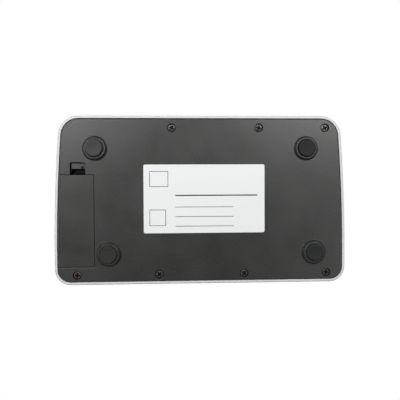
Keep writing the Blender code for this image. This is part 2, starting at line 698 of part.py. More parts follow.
def make_case_screw(name, centre, material):
    """A pan-head screw, head down in its counterbore."""
    head_z = BASE_Z + SCREW_HEAD_DEPTH
    shoulder_z = head_z + SCREW_HEAD_HEIGHT
    tip_z = shoulder_z + SCREW_SHANK_LENGTH
    profile = (
        (SCREW_HEAD_RADIUS - SCREW_EDGE_ROUND, head_z),
        (SCREW_HEAD_RADIUS, head_z + SCREW_HEAD_HEIGHT / 2),
        (SCREW_HEAD_RADIUS, shoulder_z),
        (SCREW_SHANK_RADIUS, shoulder_z),
        (SCREW_SHANK_RADIUS, tip_z - SCREW_SHANK_RADIUS),
        (SCREW_SHANK_RADIUS / 3, tip_z),
    )
    piece(name, [turned(profile, centre, SCREW_SIDES)], material)


def make_battery_cover(material):
    """The cover panel, with hinge tongues in front and a notched, U-shaped snap latch at the rear."""
    hinge = Vector(((COVER_INNER_X + HALF_WIDTH - PLATE_INSET) / 2, COVER_FRONT_Y, BASE_Z))
    edge = [
        at_level(case_outline(PLATE_INSET + FLOOR_EDGE_ROUND), BASE_Z),
        at_level(case_outline(PLATE_INSET), BASE_Z + FLOOR_EDGE_ROUND),
        at_level(case_outline(PLATE_INSET), COVER_INNER_Z),
    ]
    cover = piece("battery_cover", [edge], material, hinge)
    blank = box(
        COVER_INNER_X, 2 * HALF_WIDTH, COVER_FRONT_Y, COVER_REAR_Y,
        BASE_Z - OVERRUN, COVER_INNER_Z + OVERRUN)
    combine(cover, "cover_blank", [blank], "INTERSECT")

    low_y = bay_limits()[2]
    rib_y = low_y + GAP
    tongue_z = FLOOR_TOP_Z + GAP
    outline = [
        (rib_y, COVER_INNER_Z - COVER_THICKNESS / 2),
        (rib_y + TONGUE_RIB, COVER_INNER_Z - COVER_THICKNESS / 2),
        (rib_y + TONGUE_RIB, tongue_z + TONGUE_THICKNESS),
        (low_y - TONGUE_REACH, tongue_z + TONGUE_THICKNESS),
        (low_y - TONGUE_REACH, tongue_z),
        (rib_y, tongue_z),
    ]
    tongues = []
    for x in tongue_places():
        reach = TONGUE_WIDTH / 2
        tongues.append([across(outline, x - reach), across(outline, x + reach)])
    combine(cover, "cover_tongues", tongues, "UNION")
    window_low_x = window_limits()[0]
    low_x = window_low_x + LATCH_SIDE_GAP
    latch = latch_outline()
    combine(cover, "cover_latch", [[across(latch, low_x), across(latch, low_x + LATCH_WIDTH)]], "UNION")
    lip_y = COVER_REAR_Y + LATCH_HOLLOW
    notch_x = low_x + LATCH_NOTCH_DISTANCE
    notch = box(
        notch_x, notch_x + LATCH_NOTCH_WIDTH, lip_y - LATCH_THICKNESS, lip_y + LATCH_NOTCH_DEPTH,
        BASE_Z - OVERRUN, FLOOR_TOP_Z)
    combine(cover, "latch_notch", [notch], "DIFFERENCE")


def latch_outline():
    """The snap latch from the side: up from the panel, over a bend, down to the finger lip."""
    near_y = COVER_REAR_Y - LATCH_THICKNESS
    far_y = COVER_REAR_Y + LATCH_HOLLOW
    bend_z = BASE_Z + LATCH_RISE
    middle_y = (near_y + far_y + LATCH_THICKNESS) / 2
    outer_radius = middle_y - near_y
    inner_radius = outer_radius - LATCH_THICKNESS
    window_edge_y = window_limits()[3]
    catch_z = FLOOR_TOP_Z + GAP
    lip_z = BASE_Z + LATCH_LIP_SET_BACK
    points = [(COVER_REAR_Y, BASE_Z + COVER_THICKNESS / 2)]
    for step in range(LATCH_BEND_STEPS + 1):
        angle = math.pi - step / LATCH_BEND_STEPS * math.pi
        points.append((middle_y + inner_radius * math.cos(angle), bend_z + inner_radius * math.sin(angle)))
    points += [
        (far_y, lip_z),
        (far_y + LATCH_LIP_DEPTH, lip_z),
        (far_y + LATCH_LIP_DEPTH, lip_z + LATCH_LIP_THICKNESS),
        (far_y + LATCH_THICKNESS, lip_z + LATCH_LIP_THICKNESS),
        (far_y + LATCH_THICKNESS, catch_z),
        (window_edge_y + LATCH_CATCH, catch_z),
        (far_y + LATCH_THICKNESS, catch_z + LATCH_CATCH_THICKNESS),
    ]
    for step in range(LATCH_BEND_STEPS + 1):
        angle = step / LATCH_BEND_STEPS * math.pi
        points.append((middle_y + outer_radius * math.cos(angle), bend_z + outer_radius * math.sin(angle)))
    points.append((near_y, BASE_Z + COVER_THICKNESS / 2))
    return points


def make_battery_pack(material):
    """A rechargeable pack with rounded long edges, between the bay walls."""
    low_x, high_x, low_y, high_y = bay_limits()
    front_y = low_y + GAP + TERMINAL_THICKNESS + GAP
    rear_y = high_y - GAP
    width = high_x - low_x - 2 * GAP
    centre = ((low_x + high_x) / 2, COVER_INNER_Z + GAP + PACK_HEIGHT / 2)
    outline = rounded_rectangle(width, PACK_HEIGHT, PACK_EDGE_RADIUS, 4, centre)
    piece("battery_pack", [[on_wall(outline, front_y), on_wall(outline, rear_y)]], material)


def make_battery_terminal(material):
    """The terminal block that hangs at the front end of the bay, over the cover's tongues."""
    low_x, high_x, low_y, _ = bay_limits()
    roof_z = COVER_INNER_Z + GAP + PACK_HEIGHT + GAP
    top_z = roof_z - GAP
    block = box(
        low_x + GAP, high_x - GAP, low_y + GAP, low_y + GAP + TERMINAL_THICKNESS,
        top_z - TERMINAL_HEIGHT, top_z)
    piece("battery_terminal", [block], material)


def main_board_outline():
    """The main board: a wide rectangle with a tab behind that carries the socket and the switch."""
    left_x = MAIN_BOARD_LEFT_MARGIN - REAR_HALF_WIDTH
    right_x = COVER_INNER_X - GAP - BAY_WALL
    rear_y = BANK_REAR_Y + GAP
    tab_right_x = SOCKET_X + SOCKET_WIDTH
    tab_left_x = screw_places()[0][0] + SCREW_BOSS_RADIUS + 2 * GAP
    tab_rear_y = HALF_DEPTH - WALL - BOARD_TAB_CLEARANCE
    return [
        (left_x, THUMB_BOARD_Y), (right_x, THUMB_BOARD_Y), (right_x, rear_y), (tab_right_x, rear_y),
        (tab_right_x, tab_rear_y), (tab_left_x, tab_rear_y), (tab_left_x, rear_y), (left_x, rear_y),
    ]


def standoff_places():
    """Four posts under the corners of the main board and one under its tab."""
    outline = main_board_outline()
    inset = 2 * BOARD_POST_RADIUS
    left_x, front_y = outline[0]
    right_x, rear_y = outline[2]
    tab_x, tab_y = outline[5]
    return [
        (left_x + inset, front_y + inset), (right_x - inset, front_y + inset),
        (left_x + inset, rear_y - inset), (right_x - inset, rear_y - inset),
        (tab_x + inset, tab_y - inset),
    ]


def make_main_board(material):
    outline = main_board_outline()
    board = piece(
        "main_board",
        [[at_level(outline, MAIN_BOARD_Z), at_level(outline, MAIN_BOARD_TOP_Z)]],
        material)
    tab_x, tab_y = outline[5]
    chip_x = tab_x + GAP
    chip = box(
        chip_x, chip_x + CHIP_SIZE, tab_y - GAP - CHIP_SIZE, tab_y - GAP,
        MAIN_BOARD_TOP_Z - BOARD_THICKNESS / 2, MAIN_BOARD_TOP_Z + CHIP_HEIGHT)
    combine(board, "controller_chip", [chip], "UNION")


def make_key_board(material):
    front_y = HEAD_REAR_Y + KEY_BOARD_SETBACK
    rear_y = board_post_places()[-1][1] + KEY_BOARD_REAR_MARGIN
    board = box(-BANK_HALF_WIDTH, BANK_HALF_WIDTH, front_y, rear_y, KEY_BOARD_Z, KEY_BOARD_TOP_Z)
    piece("key_board", [board], material)


def make_thumb_board(material):
    """The upright board behind the thumb keys, standing on the main board."""
    keys = thumb_key_spans()
    reach = max(abs(x) + width / 2 for _, x, width in keys)
    centre_z = BASE_Z + THUMB_KEY_LEVEL
    top_z = centre_z + THUMB_KEY_HEIGHT / 2 + GAP
    board = box(
        -reach - THUMB_BOARD_MARGIN, COVER_INNER_X - GAP - BAY_WALL,
        THUMB_BOARD_Y, THUMB_BOARD_Y + BOARD_THICKNESS, MAIN_BOARD_TOP_Z + GAP, top_z)
    piece("thumb_board", [board], material)


def cell_profile():
    """One cell from the side: a tall head in front and the low housing of its reeds behind."""
    low_z = CARRIER_Z + CARRIER_THICKNESS / 2
    return [
        (HEAD_FRONT_Y, low_z), (REED_REAR_Y - GAP, low_z), (REED_REAR_Y - GAP, REED_TOP_Z),
        (HEAD_REAR_Y, REED_TOP_Z), (HEAD_REAR_Y, HEAD_TOP_Z), (HEAD_FRONT_Y, HEAD_TOP_Z),
    ]


def make_cell_bank(material):
    """Carrier and backplane with all cells plugged in, and the dots standing raised."""
    frame_profile = [
        (HEAD_FRONT_Y, CARRIER_Z), (BANK_REAR_Y, CARRIER_Z), (BANK_REAR_Y, REED_TOP_Z),
        (REED_REAR_Y - SINK, REED_TOP_Z), (REED_REAR_Y - SINK, CARRIER_Z + CARRIER_THICKNESS),
        (HEAD_FRONT_Y, CARRIER_Z + CARRIER_THICKNESS),
    ]
    frame = [across(frame_profile, -BANK_HALF_WIDTH), across(frame_profile, BANK_HALF_WIDTH)]
    bank = piece("cell_bank", [frame], material)
    reach = (CELL_PITCH - GAP) / 2
    cells = [[across(cell_profile(), x - reach), across(cell_profile(), x + reach)] for x in cell_centres()]
    combine(bank, "braille_cells", cells, "UNION")
    pins = []
    for x in cell_centres():
        for column in (-1, 1):
            for row in range(PIN_ROWS):
                y = READING_Y + (row - (PIN_ROWS - 1) / 2) * PIN_SPACING
                profile = (
                    (PIN_RADIUS, HEAD_TOP_Z - SINK),
                    (PIN_RADIUS, HEAD_TOP_Z),
                    (PIN_TIP_RADIUS, HEAD_TOP_Z + PIN_HEIGHT),
                )
                pins.append(turned(profile, (x + column * PIN_SPACING / 2, y), PIN_SIDES))
    combine(bank, "braille_pins", pins, "UNION")


def key_rings(width, depth, radius, proud, steps):
    """Rings of a deck key about its own centre: flange, cap and rounded edge."""
    flange = 2 * KEY_FLANGE
    wide = rounded_rectangle(width + flange, depth + flange, radius + KEY_FLANGE, steps)
    cap = rounded_rectangle(width, depth, radius, steps)
    edge = 2 * KEY_EDGE_ROUND
    crown = rounded_rectangle(width - edge, depth - edge, radius - KEY_EDGE_ROUND / 2, steps)
    top_z = TOP_Z + proud
    return [
        at_level(wide, KEY_FLANGE_Z), at_level(wide, KEY_FLANGE_TOP_Z), at_level(cap, KEY_FLANGE_TOP_Z),
        at_level(cap, top_z - KEY_EDGE_ROUND), at_level(crown, top_z),
    ]


def dish(width, depth, radius, proud, steps):
    """The ring inside a key's top that hollows it for the fingertip."""
    middle = rounded_rectangle(width / 2, depth / 2, radius / 2, steps)
    return at_level(middle, TOP_Z + proud - KEY_DISH)


def make_deck_key(name, rings, centre, material):
    """One key, placed by its centre, with its origin on its line of travel."""
    origin = Vector((centre[0], centre[1], KEY_FLANGE_Z))
    shift = Vector((centre[0], centre[1], 0))
    piece(name, [[[point + shift for point in ring] for ring in rings]], material, origin)


def make_deck_keys(cap_material, routing_material):
    routing = key_rings(ROUTING_WIDTH, ROUTING_DEPTH, ROUTING_CORNER_RADIUS, ROUTING_PROUD, 1)
    for index, x in enumerate(cell_centres(), start=1):
        make_deck_key(f"routing_key_{index:02d}", routing, (x, ROUTING_Y), routing_material)
    dot_size = (DOT_KEY_WIDTH, DOT_KEY_DEPTH, DOT_KEY_CORNER_RADIUS, DOT_KEY_PROUD, 3)
    dot = key_rings(*dot_size) + [dish(*dot_size)]
    for name, centre in dot_key_places():
        make_deck_key(name, dot, centre, cap_material)
    space_size = (SPACE_BAR_WIDTH, SPACE_BAR_DEPTH, SPACE_BAR_CORNER_RADIUS, DOT_KEY_PROUD, 3)
    space = key_rings(*space_size) + [dish(*space_size)]
    make_deck_key("space_bar", space, (0, SPACE_BAR_Y), cap_material)


def make_thumb_key(name, x, width, material):
    """One key in the front wall, with a stem that reaches back to its board."""
    z = BASE_Z + THUMB_KEY_LEVEL
    steps = 2
    radius = THUMB_KEY_CORNER_RADIUS
    flange = 2 * KEY_FLANGE
    edge = 2 * KEY_EDGE_ROUND
    stem = rounded_rectangle(THUMB_STEM_WIDTH, THUMB_STEM_HEIGHT, KEY_EDGE_ROUND, steps, (x, z))
    wide = rounded_rectangle(width + flange, THUMB_KEY_HEIGHT + flange, radius + KEY_FLANGE, steps, (x, z))
    cap = rounded_rectangle(width, THUMB_KEY_HEIGHT, radius, steps, (x, z))
    face = rounded_rectangle(width - edge, THUMB_KEY_HEIGHT - edge, radius - KEY_EDGE_ROUND, steps, (x, z))
    face_y = THUMB_KEY_INSET - HALF_DEPTH
    flange_y = WALL + GAP - HALF_DEPTH
    back_y = flange_y + KEY_FLANGE_THICKNESS
    stem_y = THUMB_BOARD_Y - KEY_TRAVEL - GAP
    rings = [
        on_wall(stem, stem_y), on_wall(stem, back_y), on_wall(wide, back_y), on_wall(wide, flange_y),
        on_wall(cap, flange_y), on_wall(cap, face_y + KEY_EDGE_ROUND), on_wall(face, face_y),
    ]
    piece(name, [rings], material, Vector((x, back_y, z)))


def socket_centre_z():
    return MAIN_BOARD_TOP_Z + GAP + SOCKET_HEIGHT / 2


def make_usb_socket(material):
    """A metal socket on the main board, open to the rear, with a contact tongue inside."""
    rear_y = HALF_DEPTH - SOCKET_INSET
    front_y = rear_y - SOCKET_LENGTH
    centre = (SOCKET_X, socket_centre_z())
    shell = rounded_rectangle(SOCKET_WIDTH, SOCKET_HEIGHT, SOCKET_HEIGHT / 3, 3, centre)
    socket = piece("usb_socket", [[on_wall(shell, front_y), on_wall(shell, rear_y)]], material)
    wall = 2 * SOCKET_WALL
    height = SOCKET_HEIGHT - wall
    mouth = rounded_rectangle(SOCKET_WIDTH - wall, height, height / 3, 3, centre)
    hollow = [on_wall(mouth, front_y + SOCKET_BACK), on_wall(mouth, rear_y + OVERRUN)]
    combine(socket, "socket_mouth", [hollow], "DIFFERENCE")
    half_width = SOCKET_TONGUE_WIDTH / 2
    half_height = SOCKET_TONGUE_HEIGHT / 2
    tongue = box(
        SOCKET_X - half_width, SOCKET_X + half_width,
        front_y + SOCKET_BACK / 2, rear_y - SOCKET_BACK,
        centre[1] - half_height, centre[1] + half_height)
    combine(socket, "socket_tongue", [tongue], "UNION")


def switch_centre_z():
    return MAIN_BOARD_TOP_Z + GAP + SWITCH_BODY_HEIGHT / 2


def make_power_switch(knob_material, body_material):
    """A slide switch: its knob in a slot of the rear wall, its body on the main board."""
    z = switch_centre_z()
    outer_y = HALF_DEPTH - WALL_DRAFT - SWITCH_KNOB_INSET
    flange_y = HALF_DEPTH - WALL - GAP
    back_y = flange_y - SWITCH_FLANGE_THICKNESS
    body_y = main_board_outline()[4][1] - SWITCH_BODY_DEPTH - GAP
    stem_y = body_y + SWITCH_BODY_DEPTH + GAP
    centre = (SWITCH_X, z)
    height = SWITCH_KNOB_HEIGHT
    stem = rounded_rectangle(SWITCH_STEM_WIDTH, SWITCH_STEM_WIDTH, KEY_EDGE_ROUND, 1, centre)
    wide_size = (SWITCH_KNOB_WIDTH + 2 * SWITCH_FLANGE, height + 2 * SWITCH_FLANGE_LIP)
    wide = rounded_rectangle(*wide_size, KEY_EDGE_ROUND, 1, centre)
    cap = rounded_rectangle(SWITCH_KNOB_WIDTH, height, KEY_EDGE_ROUND, 1, centre)
    edge = KEY_EDGE_ROUND
    face = rounded_rectangle(SWITCH_KNOB_WIDTH - edge, height - edge, KEY_EDGE_ROUND / 2, 1, centre)
    rings = [
        on_wall(stem, stem_y), on_wall(stem, back_y), on_wall(wide, back_y), on_wall(wide, flange_y),
        on_wall(cap, flange_y), on_wall(cap, outer_y - edge / 2), on_wall(face, outer_y),
    ]
    piece("power_switch_knob", [rings], knob_material, Vector((SWITCH_X, back_y, z)))
    half_width = SWITCH_BODY_WIDTH / 2
    middle_x = SWITCH_X + SWITCH_TRAVEL / 2
    low_z = MAIN_BOARD_TOP_Z + GAP
    body = box(
        middle_x - half_width, middle_x + half_width, body_y, body_y + SWITCH_BODY_DEPTH,
        low_z, low_z + SWITCH_BODY_HEIGHT)
    piece("power_switch_body", [body], body_material)


def make_rating_label(material):
    """A thin bare sticker on the underside."""
    centre = (LABEL_X, LABEL_Y)
    outline = rounded_rectangle(LABEL_WIDTH, LABEL_DEPTH, LABEL_CORNER_RADIUS, 3, centre)
    high_z = BASE_Z - LABEL_GAP
    rings = [at_level(outline, high_z - LABEL_THICKNESS), at_level(outline, high_z)]
    piece("rating_label", [rings], material)


def clear_scene():
    for thing in list(bpy.data.objects):
        bpy.data.objects.remove(thing)


def build():
    clear_scene()
    make_upper_case(finish("pale_shell", (0.78, 0.79, 0.79), 0.38))
    make_lower_case(finish("black_shell", (0.060, 0.060, 0.058), 0.52))
    make_battery_cover(finish("black_cover", (0.057, 0.058, 0.056), 0.52))
    make_battery_pack(finish("pack_sleeve", (0.03, 0.07, 0.20), 0.40))
    make_battery_terminal(finish("terminal_plastic", (0.02, 0.02, 0.02), 0.50))
    rubber = finish("foot_rubber", (0.045, 0.046, 0.047), 0.75)
    for name, centre in foot_places():
        make_foot_pad(name, centre, rubber)
    steel = finish("blackened_steel", (0.16, 0.13, 0.11), 0.35, 0.9)
    for index, centre in enumerate(screw_places(), start=1):
        make_case_screw(f"case_screw_{index}", centre, steel)
    make_main_board(finish("main_board_mask", (0.01, 0.12, 0.05), 0.45))
    make_key_board(finish("key_board_mask", (0.01, 0.11, 0.05), 0.45))
    make_thumb_board(finish("thumb_board_mask", (0.01, 0.11, 0.06), 0.45))
    make_cell_bank(finish("cell_plastic", (0.80, 0.79, 0.75), 0.42))
    cap_plastic = finish("key_plastic", (0.10, 0.10, 0.11), 0.45)
    routing_plastic = finish("routing_plastic", (0.30, 0.31, 0.32), 0.45)
    make_deck_keys(cap_plastic, routing_plastic)
    thumb_plastic = finish("thumb_key_plastic", (0.11, 0.11, 0.12), 0.45)
    for name, x, width in thumb_key_spans():
        make_thumb_key(name, x, width, thumb_plastic)
    make_usb_socket(finish("socket_steel", (0.62, 0.62, 0.62), 0.28, 1.0))
    knob_plastic = finish("knob_plastic", (0.05, 0.05, 0.05), 0.5)
    switch_steel = finish("switch_steel", (0.55, 0.55, 0.55), 0.3, 1.0)
    make_power_switch(knob_plastic, switch_steel)
    make_rating_label(finish("label_stock", (0.80, 0.80, 0.80), 0.35))


build()
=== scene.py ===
"""How the braille display looks: finer keys, cells, screws and pads, materials, studio and camera.

Metres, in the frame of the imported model. The camera looks up at the underside, so five of the eight
lamps stand below the floor, and the floor shows only from above.
"""

import math
import random

import bmesh
import bpy
from mathutils import Euler, Matrix, Vector


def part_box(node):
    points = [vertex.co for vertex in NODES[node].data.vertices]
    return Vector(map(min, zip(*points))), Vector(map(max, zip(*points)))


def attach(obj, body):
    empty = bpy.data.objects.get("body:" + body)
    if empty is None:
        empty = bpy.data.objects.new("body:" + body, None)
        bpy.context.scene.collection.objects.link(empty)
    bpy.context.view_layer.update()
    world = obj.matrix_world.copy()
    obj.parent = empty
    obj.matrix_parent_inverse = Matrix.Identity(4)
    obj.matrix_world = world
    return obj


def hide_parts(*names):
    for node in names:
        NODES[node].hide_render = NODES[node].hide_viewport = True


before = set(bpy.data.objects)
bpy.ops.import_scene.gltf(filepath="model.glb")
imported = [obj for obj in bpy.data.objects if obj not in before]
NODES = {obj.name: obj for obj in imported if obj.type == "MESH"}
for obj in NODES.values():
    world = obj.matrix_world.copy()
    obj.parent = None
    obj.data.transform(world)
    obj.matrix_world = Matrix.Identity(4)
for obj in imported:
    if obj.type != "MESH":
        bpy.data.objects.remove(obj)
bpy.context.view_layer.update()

MM = 0.001
SHARP_ANGLE = math.radians(34)
WELD_DISTANCE = 0.0005 * MM

# Keys
FLANGE = 0.6 * MM
FLANGE_THICKNESS = 0.9 * MM
KEY_ROUND = 0.4 * MM
KEY_CORNER_STEPS = 8
KEY_ROUND_STEPS = 4
DISH_SHARES = (0.93, 0.80, 0.64, 0.46, 0.28, 0.10)
DOT_KEY_COUNT = 8
DOT_KEY_CORNER = 2.4 * MM
SPACE_BAR_CORNER = 2.8 * MM
DOT_KEY_DISH = 0.3 * MM
ROUTING_KEY_CORNER = 0.7 * MM
ROUTING_KEY_DISH = 0.15 * MM
THUMB_CAP_DEPTH = 1.6 * MM
THUMB_CORNER = 2.0 * MM
THUMB_DISH = 0.25 * MM
THUMB_STEM_HALF_WIDTH = 3.0 * MM
THUMB_STEM_HALF_HEIGHT = 2.0 * MM

# Braille cells
CELL_COUNT = 20
CELL_PITCH = 6.42 * MM
CELL_GAP = 0.3 * MM
CELL_EDGE = 0.2 * MM
CARRIER_THICKNESS = 1.4 * MM
BACKPLANE_THICKNESS = 1.6 * MM
REED_TOP_Z = 17.0 * MM
HEAD_DEPTH = 11.8 * MM
HEAD_TOP_Z = 22.6 * MM
BLOCK_CORNER_STEPS = 2
HEAD_CORNER_STEPS = 3
DOT_SPACING = 2.5 * MM
DOT_ROWS = 4
DOT_RADIUS = 0.75 * MM
DOT_HEIGHT = 0.7 * MM
DOT_SIDE_SHARE = 0.35
DOT_TIP_ANGLES = (25, 50, 72)
DOT_SIDES = 16

# Screws. The head's profile is in shares of its radius and height, from its face to its seat
SCREW_HEAD_RADIUS = 2.1 * MM
SCREW_HEAD_HEIGHT = 1.3 * MM
SCREW_HEAD_LEVEL = 3.5 * MM
SCREW_HEAD_SHARES = ((0.25, 0.0), (0.72, 0.01), (0.89, 0.06), (0.97, 0.18), (1.0, 0.40), (1.0, 1.0))
SCREW_SHANK_RADIUS = 1.0 * MM
SCREW_SHANK_LENGTH = 10.0 * MM
SCREW_TIP_SHARE = 0.3
SCREW_SIDES = 40
SCREW_SEED = 7
RECESS_SPAN = 2.9 * MM
RECESS_WIDTH = 0.95 * MM
RECESS_DEPTH = 1.1 * MM
RECESS_RIM = 0.05 * MM
RECESS_CORNER = RECESS_WIDTH / 6
RECESS_CORNER_STEPS = 2
RECESS_BOTTOM_SHARE = 0.55

# Faces of the recess have its material, painted dark as shade, from this share of its depth,
# within this share of the head
PAINTED_SHADE_DEPTH_SHARE = 0.25
PAINTED_SHADE_RADIUS_SHARE = 0.7

# Pads. The hollow is given by shares of the pad's radius and heights over its rim
PAD_RADIUS = 4.9 * MM
PAD_HEIGHT = 2.6 * MM
PAD_ROUND = 0.5 * MM
PAD_ROUND_STEPS = 4
PAD_SIDES = 56
PAD_HOLLOW = ((0.12, 0.26 * MM), (0.45, 0.21 * MM), (0.72, 0.09 * MM), (0.86, 0.0))
SKIRT_RADIUS = 5.3 * MM

# How far each pad was glued outward, and the level of the skirt around it
PAD_SEATS = {
    "foot_rear_right": (0.42 * MM, 1.9 * MM),
    "foot_rear_left": (0.20 * MM, 1.9 * MM),
    "foot_front_right": (0.35 * MM, 1.2 * MM),
    "foot_front_left": (0.25 * MM, 0.98 * MM),
}

# Painted highlight along the edge of the battery bay, measured from the ends of the cover's tongues
BAY_HIGHLIGHT_START = 0.2 * MM
BAY_HIGHLIGHT_WIDTH = 0.5 * MM

# Print on the label, by shares of its width and depth from its corner at high X and high Y.
# A rule has its start, end and place down the label, a field its start, end, top and bottom
BOLD_LINE = 0.7 * MM
THIN_LINE = 0.32 * MM
BOLD_RULE_SHARES = ((0.26, 0.94, 0.45),)
THIN_RULE_SHARES = ((0.26, 0.74, 0.62), (0.26, 0.74, 0.76), (0.26, 0.74, 0.90))
FIELD_SHARES = ((0.05, 0.18, 0.66, 0.89), (0.05, 0.20, 0.10, 0.32))

# Noise: the range that most of its values keep to, and narrower ones for sharper features
NOISE_RANGE = (0.3, 0.7)
FLECK_RANGE = (0.35, 0.65)
RUBBER_WEAR_RANGE = (0.42, 0.66)
METAL_WEAR_RANGE = (0.45, 0.62)

# How far roughness and colour change over one material
PLASTIC_ROUGHNESS_SWING = 0.04
RUBBER_DUST_ROUGHNESS = 0.08
RUBBER_DUST_SHADE = 1.25
METAL_ROUGHNESS_DOWN = 0.07
METAL_ROUGHNESS_UP = 0.09
PAPER_ROUGHNESS_RANGE = (0.30, 0.38)
PAPER_SHADE_SHARE = 0.015
TRACE_SHADE = 2.2

# Finish of the black mouldings, and the grain of the small plastic pieces
BLACK_FINISH = {
    "roughness": 0.35, "specular": 0.8, "grain": 1700.0, "grain_depth": 0.04 * MM,
    "mark_share": 0.12, "fleck": 1300.0, "fleck_share": 0.6,
}
SMALL_PIECE_GRAIN = 5200.0

# The camera, fitted to the sticker, feet, screws and edges of the photograph
CAMERA_PLACE = (0.017684, 0.009662, -0.297724)
CAMERA_TURN = (-1.8314, 176.8052, 0.2533)
CAMERA_LENS = 47.061

# Light of the world from below and from above, where 1 is white, and half the height of its horizon
LIGHT_BELOW = 0.06
LIGHT_ABOVE = 0.36
HORIZON_BLUR = 0.10

# Lamps: place, target, width, depth and power
UNDERSIDE = (0, 0, 0)
DECK = (0, 0, 0.02)
LAMPS = {
    "below_right": ((0.25, 0.265, -0.5), UNDERSIDE, 0.25, 0.32, 2.1),
    "below_left": ((-0.25, 0.265, -0.5), UNDERSIDE, 0.25, 0.32, 1.9),
    "below_side": ((0.7, 0.0, -0.5), UNDERSIDE, 0.25, 0.25, 0.95),
    "below_front_right": ((0.35, -0.25, -0.5), UNDERSIDE, 0.4, 0.25, 0.35),
    "below_front_left": ((-0.35, -0.2, -0.5), UNDERSIDE, 0.3, 0.25, 0.3),
    "above_key": ((-0.5, -0.45, 0.75), DECK, 0.7, 0.6, 3.6),
    "above_fill": ((0.6, -0.15, 0.6), DECK, 0.6, 0.6, 1.5),
    "above_rear": ((0.1, 0.7, 0.6), DECK, 0.6, 0.5, 1.5),
}

# The floor's half width, its colour, and where it starts and ends to fade into the white around it
FLOOR_REACH = 1.5
FLOOR_COLOUR = (0.88, 0.88, 0.88, 1)
FLOOR_FADE = (0.18, 0.55)


# Mesh code

def rounded_outline(half_x, half_y, radius, steps):
    """A rectangle with round corners about the origin, anticlockwise."""
    points = []
    for quarter, (side_x, side_y) in enumerate(((1, 1), (-1, 1), (-1, -1), (1, -1))):
        for step in range(steps + 1):
            angle = (quarter + step / steps) * math.pi / 2
            x = side_x * (half_x - radius) + radius * math.cos(angle)
            y = side_y * (half_y - radius) + radius * math.sin(angle)
            points.append((x, y))
    return points


def circle(radius, steps):
    angles = [step * math.tau / steps for step in range(steps)]
    return [(radius * math.cos(angle), radius * math.sin(angle)) for angle in angles]


def level(outline, z, centre=(0, 0)):
    return [Vector((x + centre[0], y + centre[1], z)) for x, y in outline]


def loft(shape, rings):
    """Skin rings of equal length into one closed solid."""
    loops = [[shape.verts.new(point) for point in ring] for ring in rings]
    for lower, upper in zip(loops, loops[1:]):
        for index in range(len(lower)):
            following = (index + 1) % len(lower)
            shape.faces.new((lower[index], lower[following], upper[following], upper[index]))
    shape.faces.new(loops[0])
    shape.faces.new(loops[-1])


def make_mesh(name, solids):
    shape = bmesh.new()
    for rings in solids:
        loft(shape, rings)
    bmesh.ops.recalc_face_normals(shape, faces=shape.faces)
    mesh = bpy.data.meshes.new(name)
    shape.to_mesh(mesh)
    shape.free()
    mesh.shade_smooth()
    mesh.set_sharp_from_angle(angle=SHARP_ANGLE)
    return mesh


def cut_mesh(name, mesh, cutters):
    """Cut solids out of a mesh and return the result."""
    blank = bpy.data.objects.new(name, mesh)
    bpy.context.scene.collection.objects.link(blank)
    tools = []
    for cutter in cutters:
        tool = bpy.data.objects.new(name + "_tool", cutter)
        bpy.context.scene.collection.objects.link(tool)
        tools.append(tool)
        modifier = blank.modifiers.new("cut", "BOOLEAN")
        modifier.operation = "DIFFERENCE"
        modifier.solver = "EXACT"
        modifier.object = tool
    graph = bpy.context.evaluated_depsgraph_get()
    result = bpy.data.meshes.new_from_object(blank.evaluated_get(graph))
    for thing in (blank, *tools):
        bpy.data.objects.remove(thing)
    result.shade_smooth()
    result.set_sharp_from_angle(angle=SHARP_ANGLE)
    return result


def place(name, mesh, body, material, replaced=None):
    """Show a mesh as one piece that rides on a body."""
    piece = bpy.data.objects.new(name, mesh)
    bpy.context.scene.collection.objects.link(piece)
    if not mesh.materials:
        mesh.materials.append(material)
    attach(piece, body)
    if replaced:
        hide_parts(replaced)


# Shader code

def link(tree, output, target):
    tree.links.new(output, target)


def add(tree, kind, settings=(), values=()):
    """A node with its settings and the plain values of its sockets."""
    made = tree.nodes.new(kind)
    for key, value in dict(settings).items():
        setattr(made, key, value)
    for key, value in dict(values).items():
        made.inputs[key].default_value = value
    return made


def new_material(name, roughness, metallic=0.0, specular=0.5):
    material = bpy.data.materials.new(name)
    material.use_nodes = True
    tree = material.node_tree
    shader = tree.nodes["Principled BSDF"]
    shader.inputs["Roughness"].default_value = roughness
    shader.inputs["Metallic"].default_value = metallic
    shader.inputs["Specular IOR Level"].default_value = specular
    return material, tree, shader


def noise_at(tree, scale, detail=2.0, roughness=0.5):
    """Noise in object space, with features about 1/scale metres wide."""
    coordinate = add(tree, "ShaderNodeTexCoord")
    values = {"Scale": scale, "Detail": detail, "Roughness": roughness}
    texture = add(tree, "ShaderNodeTexNoise", values=values)
    link(tree, coordinate.outputs["Object"], texture.inputs["Vector"])
    return texture.outputs["Fac"]


def axes_of(tree, space):
    """The X, Y and Z of the place in one of the spaces of the coordinate node."""
    coordinate = add(tree, "ShaderNodeTexCoord")
    split = add(tree, "ShaderNodeSeparateXYZ")
    link(tree, coordinate.outputs[space], split.inputs["Vector"])
    return split.outputs


def combine(tree, operation, first, second):
    """Join two values by a product, a maximum or the like."""
    joined = add(tree, "ShaderNodeMath", {"operation": operation})
    link(tree, first, joined.inputs[0])
    link(tree, second, joined.inputs[1])
    return joined.outputs["Value"]


def span(tree, source, low, high, out_low=0.0, out_high=1.0):
    """Map a value's range onto another."""
    values = {"From Min": low, "From Max": high, "To Min": out_low, "To Max": out_high}
    ranged = add(tree, "ShaderNodeMapRange", values=values)
    link(tree, source, ranged.inputs["Value"])
    return ranged.outputs["Result"]


